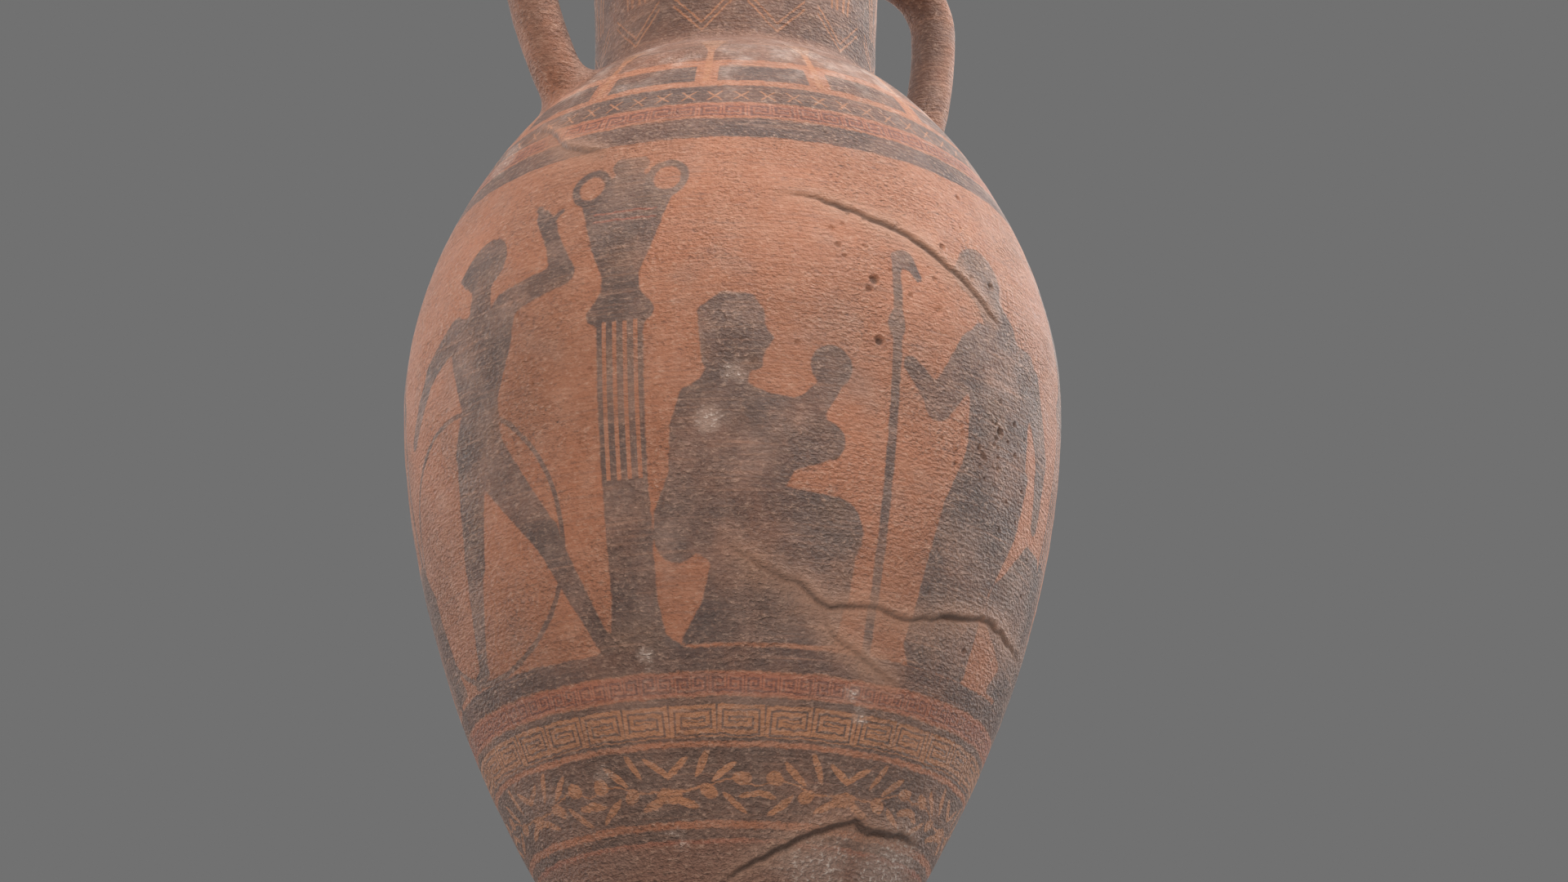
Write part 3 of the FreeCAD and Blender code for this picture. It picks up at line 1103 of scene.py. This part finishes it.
def parts_of(tree, vector):
    """The three parts of a vector output, as signals."""
    split = tree.nodes.new("ShaderNodeSeparateXYZ")
    tree.links.new(vector, split.inputs[0])
    return [Signal(tree, part) for part in split.outputs]


def srgb(red, green, blue):
    """A colour given in display values from 0 to 255, as the linear values that materials use."""
    def linear(value):
        value /= 255
        return value / 12.92 if value <= 0.04045 else ((value + 0.055) / 1.055) ** 2.4
    return (linear(red), linear(green), linear(blue), 1.0)


class Surface:
    """A material, with the places on the jar that its paint depends on."""

    def __init__(self, name):
        self.material = bpy.data.materials.new(name)
        self.material.use_nodes = True
        self.tree = self.material.node_tree
        self.shader = self.tree.nodes["Principled BSDF"]
        self.coords = output(self.tree, "TexCoord", "Object")
        x, y, z = [part * 1000.0 for part in parts_of(self.tree, self.coords)]
        self.radius = x.length(y)
        turn = x.operate("ARCTAN2", x, y * -1.0)
        self.turn = turn / (2 * math.pi)
        self.z = z + self.grain(9, 21) * 0.55 + self.grain(2.2, 22) * 0.45

    def grain(self, wavelength, seed, detail=1.0, roughness=0.5):
        """Noise of about -1 to 1. wavelength is in millimetres, one or one for each axis."""
        sizes = wavelength if isinstance(wavelength, tuple) else (wavelength,) * 3
        mapping = self.tree.nodes.new("ShaderNodeMapping")
        mapping.inputs["Location"].default_value = (seed * 3.7, seed * 1.3, seed * 2.1)
        mapping.inputs["Scale"].default_value = [1000.0 / size for size in sizes]
        texture = self.tree.nodes.new("ShaderNodeTexNoise")
        texture.inputs["Scale"].default_value = 1.0
        texture.inputs["Detail"].default_value = detail
        texture.inputs["Roughness"].default_value = roughness
        self.tree.links.new(self.coords, mapping.inputs["Vector"])
        self.tree.links.new(mapping.outputs[0], texture.inputs["Vector"])
        return Signal(self.tree, texture.outputs["Fac"]) * 3.2 - 1.6

    def wrinkles(self):
        """The fine wrinkles that cover the whole jar."""
        return self.grain((2.1, 2.1, 1.3), 8, 2.0, 0.6)

    def attribute(self, name):
        """A value stored on the mesh by add_attributes."""
        node = self.tree.nodes.new("ShaderNodeAttribute")
        node.attribute_name = name
        return Signal(self.tree, node.outputs["Fac"])

    def vector(self, operation, *values):
        """The node that works out a vector operation on outputs or fixed vectors."""
        node = self.tree.nodes.new("ShaderNodeVectorMath")
        node.operation = operation
        for entry, value in zip(node.inputs, values):
            connect(self.tree, value, entry)
        return node

    def inward(self):
        """1 where the surface faces the jar's axis and -1 where it faces away from it."""
        level = self.vector("MULTIPLY", self.coords, (-1, -1, 0))
        toward = self.vector("NORMALIZE", level.outputs[0])
        normal = output(self.tree, "NewGeometry", "Normal")
        facing = self.vector("DOT_PRODUCT", toward.outputs[0], normal)
        return Signal(self.tree, facing.outputs["Value"])

    def band(self, low, high, soft=0.5):
        """1 between two heights on the jar."""
        return self.z.rise(low - soft, low + soft) * self.z.rise(high + soft, high - soft)

    def cell(self, count, centre=0.0):
        """(x, flip) in one of count equal cells round the jar, one of them centred at centre.

        x is millimetres across from the cell's middle, and flip is -1 in every second cell, else 1.
        """
        position = self.turn * count + (0.5 - centre / 360 * count)
        index = position.floor()
        x = (position - index - 0.5) * self.radius * (2 * math.pi / count)
        return x, 1.0 - (index % 2.0) * 2.0

    def mix(self, share, first, second):
        """The first colour where share is 0 and the second where it is 1."""
        node = self.tree.nodes.new("ShaderNodeMix")
        node.data_type = "RGBA"
        node.clamp_factor = True
        connect(self.tree, share, node.inputs["Factor"])
        connect(self.tree, first, node.inputs[6])
        connect(self.tree, second, node.inputs[7])
        return node.outputs[2]

    def coats(self, colour, *layers):
        """A colour with others laid over it in turn, each given as its share and its colour."""
        for share, over in layers:
            colour = self.mix(share, colour, over)
        return colour

    def finish(self, colour, roughness, height):
        """Connects the finished colour, roughness and small relief, in millimetres."""
        self.tree.links.new(colour, self.shader.inputs["Base Color"])
        connect(self.tree, roughness, self.shader.inputs["Roughness"])
        bump = self.tree.nodes.new("ShaderNodeBump")
        bump.inputs["Strength"].default_value = 1.0
        bump.inputs["Distance"].default_value = MM
        connect(self.tree, height, bump.inputs["Height"])
        self.tree.links.new(bump.outputs[0], self.shader.inputs["Normal"])
        return self.material


# ------------------------ painted ornament

def key_spiral(x, y, half_width, half_height, pitch):
    """Distance to the line of a square spiral, the element of a key pattern."""
    extra = half_width - half_height
    upper = (abs(x) - extra).most(abs(y)) / pitch
    lower = (abs(x - pitch / 2) - extra).most(abs(y)) / pitch
    upper_line = abs((upper + 0.5) % 1.0 - 0.5)
    lower_line = abs(lower % 1.0 - 0.5)
    above = y.rise(-0.01, 0.01)
    return (upper_line * above + lower_line * (1.0 - above)) * pitch


def key_frieze(surface, low, high, count, pitch, half_line):
    """A band of square spirals that face each other in pairs, with bars between them."""
    half_height = (high - low) / 2
    x, flip = surface.cell(count)
    y = surface.z - (low + high) / 2
    half_width = 2 * math.pi * outside_radius((low + high) / 2) / count / 2
    line = key_spiral(x * flip, y, half_width, half_height, pitch).stripe(half_line, 0.3)
    return line * abs(y).rise(half_height, half_height - 0.5)


def ellipse(x, y, at, size, tilt):
    """1 inside a tilted ellipse, in a cell's millimetres."""
    angle = math.radians(tilt)
    dx, dy = x - at[0], y - at[1]
    along = (dx * math.cos(angle) + dy * math.sin(angle)) / size[0]
    across = (dy * math.cos(angle) - dx * math.sin(angle)) / size[1]
    return along.length(across).rise(1.12, 0.88)


def sprig_frieze(surface, low, high, count):
    """Olive sprigs: slim leaves and round fruit along a thin stem."""
    x, flip = surface.cell(count, centre=7.0)
    x = x * flip + surface.grain(26, 41) * 2.0
    y = surface.z - (low + high) / 2 + surface.grain(22, 42) * 1.6
    leaves = [((-16, 6), 35), ((-11, -6), -28), ((-5, 8), 62), ((4, 5), 38), ((9, -7), -35), ((17, -3), 12)]
    fruit = [((-17, -3), -10), ((-2, -3), -25), ((12, 3), 15)]
    return union(
        (y - 2.2 * (x * 0.16).operate("SINE", x * 0.16)).stripe(0.35, 0.3),
        *[ellipse(x, y, at, (6.4, 1.4), tilt) for at, tilt in leaves],
        *[ellipse(x, y, at, (3.9, 2.5), tilt) for at, tilt in fruit],
    )


def torch_frieze(surface):
    """(dark, light): blocks between upright torches on the shoulder."""
    count, centre = 14, -40.5
    x, _ = surface.cell(count, centre)
    blocks = surface.band(420, 432) * abs(x).rise(4.6, 5.4)
    panels = surface.band(437, 452) * 0.7
    flare = (surface.z - 446.0).most(0.0) * 0.42
    bar = (abs(x) - 1.5 - flare).rise(0.4, -0.4) * surface.band(420, 457)
    return blocks.most(panels), bar


def cross_frieze(surface, middle, count):
    """A row of small crosses."""
    x, _ = surface.cell(count)
    y = surface.z - middle
    return (abs(x) - abs(y)).stripe(0.55, 0.35) * abs(y).rise(3.3, 2.9)


def neck_ornament(surface):
    """Double chevrons round the neck's root, a chain of double arches and a row of tongues above."""
    x, _ = surface.cell(12, -17.5)
    rise = surface.z - 473.0 - abs(x) * 1.05
    chevrons = rise.stripe(0.7).most((rise - 4.2).stripe(0.7)) * abs(x).rise(14.5, 13.5)
    x, _ = surface.cell(12, -2.5)
    arch_width = 15.5
    arch = (x / arch_width).length((surface.z - 494.0) / 38.0)
    arches = ((arch - 1.0) * arch_width).stripe(0.8).most(((arch - 0.78) * arch_width).stripe(0.6))
    arches = arches * surface.band(494, 536)
    lines = surface.band(541, 542.2, 0.35).most(surface.band(545, 546.0, 0.35))
    tongue, _ = surface.cell(44)
    tip = (tongue.length((surface.z - 556.0).least(0.0)) - 3.4).stripe(0.65)
    tongues = tip * surface.band(550, 594)
    return union(chevrons, arches, lines, tongues)


def across_from(surface, azimuth):
    """Millimetres round the jar from an azimuth."""
    turn = (surface.turn + (0.5 - azimuth / 360)) % 1.0 - 0.5
    return turn * surface.radius * (2 * math.pi)


def flute_gaps(surface):
    """Bare gaps between the columns' flutes."""
    y = surface.z - GROUND
    gaps = []
    for azimuth in COLUMN_AZIMUTHS:
        x = across_from(surface, azimuth)
        between_flutes = abs((x + 2.3) % 4.6 - 2.3).rise(1.15, 1.6)
        gaps.append(between_flutes * abs(x).rise(10.4, 9.8) * y.rise(66, 67) * y.rise(133, 132))
    return union(*gaps)


def urn_lines(surface):
    """Two thin red lines round each column's urn."""
    y = surface.z - GROUND
    pair = (y - 184.5).stripe(0.5).most((y - 180.5).stripe(0.5))
    return union(*[pair * abs(across_from(surface, azimuth)).rise(15, 13) for azimuth in COLUMN_AZIMUTHS])


def runner_hoops(surface):
    """The large hoop beside each runner."""
    y = surface.z - GROUND
    across = [across_from(surface, azimuth) + 19.0 * flip for azimuth, flip in RUNNERS]
    return union(*[(x.length(y - 56.0) - 55.0).stripe(1.1) for x in across])


# ------------------------ materials

CLAY = srgb(161, 102, 73)
CLAY_BROWN = srgb(139, 89, 64)
CLAY_PALE = srgb(172, 126, 102)
SLIP = srgb(80, 64, 58)
SLIP_DARK = srgb(78, 57, 50)
SLIP_WORN = srgb(124, 98, 86)
SLIP_BROWN = srgb(110, 83, 67)
RED = srgb(150, 80, 60)
RED_DARK = srgb(98, 60, 52)
WASH = srgb(110, 82, 70)
OCHRE = srgb(176, 124, 84)
FILM = srgb(132, 108, 96)
# painted highlight for the wrinkles' ridges and painted shade for their hollows
RIDGE_HIGHLIGHT = srgb(190, 152, 130)
HOLLOW_SHADE = srgb(78, 56, 48)
FLECK_PALE = srgb(188, 152, 130)
FLECK_DARK = srgb(76, 53, 45)
WORN = srgb(160, 134, 119)
CHIPPED = srgb(166, 130, 108)
# pale dust, also used as a painted highlight
DUST_AND_HIGHLIGHT = srgb(206, 188, 176)
SOIL = srgb(78, 57, 47)

DARK_BANDS = [(88.5, 92.2), (95, 121.8), (124.0, 140.3), (150, GROUND), (FIELD_TOP, 393.3), (404, 416)]
RED_BANDS = [(141, 149.4), (394.4, 403.3), (86.8, 88.2)]


def bare_clay_colour(surface):
    """Fired clay: soft orange and brown clouds with pale blotches."""
    clouds = surface.grain(70, 1, 2.0).rise(-0.9, 0.9)
    blotches = surface.grain(11, 2, 2.0).rise(-0.2, 1.2)
    return surface.coats(CLAY_BROWN, (clouds, CLAY), (blotches * 0.45, CLAY_PALE))


def weathered_with_painted_light(surface, colour):
    """Adds what time did to the jar: streaks, grey film, worn pale flecks and soil in the cracks, with
    painted highlights on the wrinkles' ridges and rubbed spots, and painted shade in the wrinkles' hollows.
    """
    streaks = surface.grain((34, 34, 1.3), 3, 2.0)
    film = surface.grain(24, 5, 3.0).rise(0.0, 1.1)
    rough = roughened(surface)
    wrinkles = surface.wrinkles()
    speckle = surface.grain((3.4, 3.4, 1.5), 28, 3.0, 0.7)
    patches = surface.grain(17, 6, 3.0, 0.65).rise(0.95, 1.6)
    # paint rubbed pale together with painted highlights, given ragged edges
    rubbed_and_highlit_patches = surface.attribute("rubbed") + surface.grain((9, 9, 5), 7, 3.0, 0.7) * 0.35
    worn = patches.most(rubbed_and_highlit_patches.rise(0.45, 1.0))
    return surface.coats(
        colour,
        (streaks.rise(0.0, 1.2) * 0.50, CLAY_PALE),
        (streaks.rise(0.0, -1.2) * 0.50, WASH),
        (film * 0.40, FILM),
        # painted highlight on the wrinkles' ridges and painted shade in their hollows
        (wrinkles.rise(0.1, 1.0) * (rough * 0.45 + 0.22), RIDGE_HIGHLIGHT),
        (wrinkles.rise(-0.1, -1.0) * (rough * 0.50 + 0.30), HOLLOW_SHADE),
        (speckle.rise(0.05, 0.9) * 0.45, FLECK_PALE),
        (speckle.rise(-0.05, -0.9) * 0.50, FLECK_DARK),
        # rubbed paint and painted highlights: paler, and palest on the wrinkles' ridges, as dust and painted
        # glints
        (worn * 0.45, WORN),
        (worn * wrinkles.rise(0.0, 0.9) * 0.90, DUST_AND_HIGHLIGHT),
        (surface.attribute("halo") * 0.50, CHIPPED),
        (surface.attribute("groove").rise(0.30, 1.5) * 0.80, SOIL),
    )


def roughened(surface):
    """Where the surface is rough as orange peel (1) and where it is still smooth (0)."""
    return surface.grain(36, 23, 3.0, 0.6).rise(-0.5, 0.6).most(surface.z.rise(150, 80) * 0.85)


def small_relief(surface):
    """Wrinkled skin of the slip and clay, in millimetres."""
    skin = surface.grain(0.9, 9, 1.0)
    streaks = surface.grain((30, 30, 1.1), 10, 1.0)
    depth = (roughened(surface) * 0.46 + 0.22) * (surface.z.rise(280, 150) * 0.4 + 1.0)
    return surface.wrinkles() * depth + skin * 0.07 + streaks * 0.10


def wear(surface):
    """How well paint has held, from 0 to 1: patches rubbed thin, and flecks lost."""
    patches = surface.grain(30, 11, 3.0, 0.6).rise(1.5, -0.6)
    flecks = surface.grain(2.0, 12, 2.0, 0.6).rise(1.3, -0.1)
    held = patches * 0.45 + 0.55
    return held * (flecks * 0.25 + 0.75) * (1.0 - surface.attribute("halo") * 0.55)


def dark_paint(surface, blocks):
    """Where dark slip was painted: figures, bands, the shoulder's blocks and the whole neck."""
    edge = surface.grain(3.2, 13, 2.0) * 0.45
    figures = (surface.attribute("figure") + edge).rise(0.55, -0.55) * (1.0 - flute_gaps(surface))
    pictures = figures.most(runner_hoops(surface) * 0.95) * surface.band(GROUND - 1, FIELD_TOP)
    bands = [surface.band(low, high) for low, high in DARK_BANDS]
    return union(pictures, *bands, blocks, surface.z.rise(468, 474) * 0.92)


def bare_lines(surface, torches):
    """Where clay shows through the dark paint as a pattern, from 0 to 1."""
    lines = union(
        sprig_frieze(surface, 95, 121, 16) * surface.band(96, 120.5),
        key_frieze(surface, 125.2, 137.8, 34, 2.6, 0.82),
        cross_frieze(surface, 409, 66),
        torches,
        neck_ornament(surface),
    )
    return lines * (surface.grain(14, 24, 2.0) * 0.2 + 0.85)


def slip_colour(surface):
    """Dark slip: blotched, worn grey-brown in places, and darkest in the bands round the pictures."""
    browner = surface.grain(27, 20, 3.0).rise(-0.1, 1.0).most(surface.z.rise(156, 138) * 0.5)
    blotch = surface.grain(9, 29, 3.0, 0.65)
    strong = surface.z.rise(372, 382).most(surface.band(150, GROUND)) * surface.z.rise(540, 440)
    strong = strong.most(surface.z.rise(142, 138) * 0.5)
    return surface.coats(
        SLIP,
        (surface.grain(19, 14, 3.0).rise(-0.5, 0.9), SLIP_WORN),
        (browner * 0.85, SLIP_BROWN),
        (blotch.rise(0.1, 1.3) * 0.55, SLIP_WORN),
        (blotch.rise(-0.1, -1.3) * 0.65, SLIP_DARK),
        (strong * 0.60, SLIP_DARK),
    )


def painted_clay():
    """Body and neck: black-brown pictures and friezes on orange clay."""
    surface = Surface("painted_clay")
    z = surface.z
    blocks, torches = torch_frieze(surface)
    shown = bare_lines(surface, torches)
    dark = dark_paint(surface, blocks) * (1.0 - shown)
    reddish = union(*[surface.band(low, high) for low, high in RED_BANDS])
    low_keys = key_frieze(surface, 141.8, 148.8, 98, 1.9, 0.5)
    high_keys = key_frieze(surface, 394.9, 402.9, 74, 2.2, 0.62)
    smudges = surface.grain(21, 25, 3.0).rise(0.0, 1.1) * z.rise(430, 450) * 0.8
    wash = union(z.rise(92, 84), smudges, surface.band(450, 472, 3.0))
    yellowed = z.rise(150, 140).most(z.rise(402, 406) * 0.7)
    # pale dust film on the shoulder, which also serves as a painted highlight there
    dust_and_highlight = surface.grain(15, 27, 3.0, 0.6).rise(-0.2, 1.2) * z.rise(395, 435) * z.rise(472, 458)
    painted = surface.attribute("painted")
    held = wear(surface) * painted
    colour = surface.coats(
        bare_clay_colour(surface),
        (wash * 0.75 * painted, WASH),
        (reddish * 0.42 * held, RED),
        (low_keys.most(high_keys) * 0.90 * held, RED_DARK),
        (dark * held, slip_colour(surface)),
        (shown * 0.45 * painted * yellowed, OCHRE),
        (urn_lines(surface) * 0.6 * held, RED),
        (dust_and_highlight * 0.55, DUST_AND_HIGHLIGHT),
    )
    roughness = 0.72 + surface.grain(6, 15) * 0.07
    return surface.finish(weathered_with_painted_light(surface, colour), roughness, small_relief(surface) + dark * 0.03)


def dark_slip():
    """Foot and mouth: brown slip rubbed back to the clay on every edge."""
    surface = Surface("dark_slip")
    patches = surface.grain(16, 16, 3.0, 0.6)
    edges = Signal(surface.tree, output(surface.tree, "NewGeometry", "Pointiness")).rise(0.505, 0.56)
    held = wear(surface) * (1.0 - edges * 0.7) * (patches.rise(1.7, -0.2) * 0.4 + 0.6)
    slip = surface.mix(patches.rise(-1, 1), SLIP, SLIP_WORN)
    colour = surface.mix(held * 0.95, bare_clay_colour(surface), slip)
    roughness = 0.70 + surface.grain(6, 17) * 0.07
    return surface.finish(weathered_with_painted_light(surface, colour), roughness, small_relief(surface))


def bare_clay():
    """Handles and pressed clay: orange clay under a thin, uneven brown wash, with painted shade where they
    face the jar.
    """
    surface = Surface("bare_clay")
    washed = surface.grain(26, 18, 3.0, 0.6).rise(-1.0, 0.9)
    smears = surface.grain((7, 7, 16), 26, 3.0, 0.6).rise(0.35, 1.1)
    colour = surface.coats(
        bare_clay_colour(surface),
        (washed * 0.85, WASH),
        (smears * 0.65, SLIP),
        # painted shade: darker where the clay faces the jar's axis, as on the handles' inner sides next to
        # the neck
        (surface.inward().rise(-0.2, 0.8) * 0.55, SLIP),
    )
    roughness = 0.74 + surface.grain(6, 19) * 0.07
    return surface.finish(weathered_with_painted_light(surface, colour), roughness, small_relief(surface))


# ------------------------ the whole jar

def add_piece(name, mesh, node, material):
    """Puts a finished mesh into the scene in place of its CAD node."""
    piece = bpy.data.objects.new(name, mesh)
    bpy.context.scene.collection.objects.link(piece)
    mesh.materials.append(material)
    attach(piece, "root")
    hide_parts(node)


def add_jar():
    """Makes all pieces and puts them in their places."""
    looks = {"painted_clay": painted_clay(), "dark_slip": dark_slip(), "bare_clay": bare_clay()}
    turned = [
        ("foot", foot_outline(), "dark_slip"),
        ("foot_collar", collar_outline(foot_fillet()), "bare_clay"),
        ("lower_body", lower_body_outline(), "painted_clay"),
        ("upper_body", upper_body_outline(), "painted_clay"),
        ("neck", neck_outline(), "painted_clay"),
        ("neck_collar", collar_outline(NECK_FILLET), "painted_clay"),
        ("mouth_ring", mouth_outline(), "dark_slip"),
    ]
    for node, outline, slot in turned:
        mesh = turned_mesh(outline, node)
        add_piece("turned_" + node, mesh, node, looks[slot])
    for side, word in ((1, "right"), (-1, "left")):
        low_root = root_surface(side, ROD_FIRST, SHOULDER_ROOT_FILLET, 1)
        high_root = root_surface(side, ROD_LAST, NECK_ROOT_FILLET, -1)
        parts = {
            "handle": sheet_mesh("rod", handle_surface(side), ROD_COLUMNS, ROD_ROWS),
            "shoulder_root": sheet_mesh("root", low_root, ROD_COLUMNS, ROOT_ROWS, buried=1),
            "neck_root": sheet_mesh("root", high_root, ROD_COLUMNS, ROOT_ROWS, buried=1),
        }
        for part, mesh in parts.items():
            node = word + "_" + part
            add_piece("pulled_" + node, mesh, node, looks["bare_clay"])


# ------------------------ floor, light and camera

def floor_material():
    """Pale grey. It is clear from below, and fades into the backdrop away from the jar."""
    tone_to_light, tone_to_camera = 0.30, 0.36
    fade_start, fade_end = 0.7, 2.3
    material = bpy.data.materials.new("floor")
    material.use_nodes = True
    tree = material.node_tree
    seen = Signal(tree, output(tree, "LightPath", "Is Camera Ray"))
    from_below = Signal(tree, output(tree, "NewGeometry", "Backfacing"))
    x, y, _ = parts_of(tree, output(tree, "TexCoord", "Object"))
    faded = x.length(y).rise(fade_start, fade_end) * seen
    shader = tree.nodes["Principled BSDF"]
    connect(tree, seen * (tone_to_camera - tone_to_light) + tone_to_light, shader.inputs["Base Color"])
    connect(tree, 0.9, shader.inputs["Roughness"])
    mix = tree.nodes.new("ShaderNodeMixShader")
    clear = output(tree, "BsdfTransparent", "BSDF")
    for entry, value in zip(mix.inputs, (from_below.most(faded), shader.outputs[0], clear)):
        connect(tree, value, entry)
    connect(tree, mix.outputs[0], tree.nodes["Material Output"].inputs["Surface"])
    return material


def add_floor():
    """A pale floor for the jar to stand on."""
    half = 4.0
    mesh = bpy.data.meshes.new("floor")
    corners = [(-half, -half, 0), (half, -half, 0), (half, half, 0), (-half, half, 0)]
    mesh.from_pydata(corners, [], [(0, 1, 2, 3)])
    mesh.materials.append(floor_material())
    floor = bpy.data.objects.new("floor", mesh)
    bpy.context.scene.collection.objects.link(floor)


VIEW_AZIMUTH = -34.0          # where the camera stands
CENTRE = Vector((0, 0, 0.30))  # what the lights face, in metres
BACKDROP = srgb(113, 113, 113)


def add_light(name, azimuth, elevation, distance, size, watts, colour):
    """A soft light that faces the jar. azimuth counts from the camera's side.

    distance and size, which is (width, height), are in metres.
    """
    light = bpy.data.lights.new(name, "AREA")
    light.shape = "RECTANGLE"
    light.size, light.size_y = size
    light.energy = watts
    light.color = colour
    turn, lift = math.radians(VIEW_AZIMUTH + azimuth), math.radians(elevation)
    back = Vector((math.sin(turn) * math.cos(lift), -math.cos(turn) * math.cos(lift), math.sin(lift)))
    holder = bpy.data.objects.new(name, light)
    holder.location = CENTRE + back * distance
    holder.rotation_euler = (-back).to_track_quat("-Z", "Y").to_euler()
    bpy.context.scene.collection.objects.link(holder)


def add_lights():
    """Soft lamps all round the jar, under an even grey surrounding."""
    warm, white, cool = (1.0, 0.95, 0.90), (1.0, 1.0, 1.0), (0.90, 0.97, 1.0)
    add_light("front_fill", -14, 8, 2.2, (2.0, 0.9), 32, warm)
    add_light("top", 10, 72, 1.9, (1.4, 1.4), 24, white)
    add_light("upper_right", 64, 48, 2.0, (0.9, 0.9), 36, cool)
    add_light("right_rim", 120, 28, 1.8, (0.8, 0.8), 26, cool)
    add_light("left_rim", -115, 20, 1.8, (0.9, 0.9), 18, white)
    add_light("back", 180, 25, 2.4, (1.6, 1.6), 30, white)
    world = bpy.data.worlds.new("studio")
    world.use_nodes = True
    world.node_tree.nodes["Background"].inputs["Color"].default_value = BACKDROP
    bpy.context.scene.world = world


def add_camera():
    """Looks up at the jar from low on its front left."""
    distance, height, lens = 1.2442, -0.2045, 67.2
    heading, tilt = math.radians(35.08), math.radians(21.90)
    turn = math.radians(VIEW_AZIMUTH)
    data = bpy.data.cameras.new("camera")
    data.sensor_width = 36
    data.lens = lens
    camera = bpy.data.objects.new("camera", data)
    camera.location = (distance * math.sin(turn), -distance * math.cos(turn), height)
    ahead = Vector((math.sin(heading) * math.cos(tilt), math.cos(heading) * math.cos(tilt), math.sin(tilt)))
    camera.rotation_euler = ahead.to_track_quat("-Z", "Y").to_euler()
    bpy.context.scene.collection.objects.link(camera)
    bpy.context.scene.camera = camera


add_jar()
add_floor()
add_lights()
add_camera()
bpy.context.scene.view_settings.view_transform = "Standard"
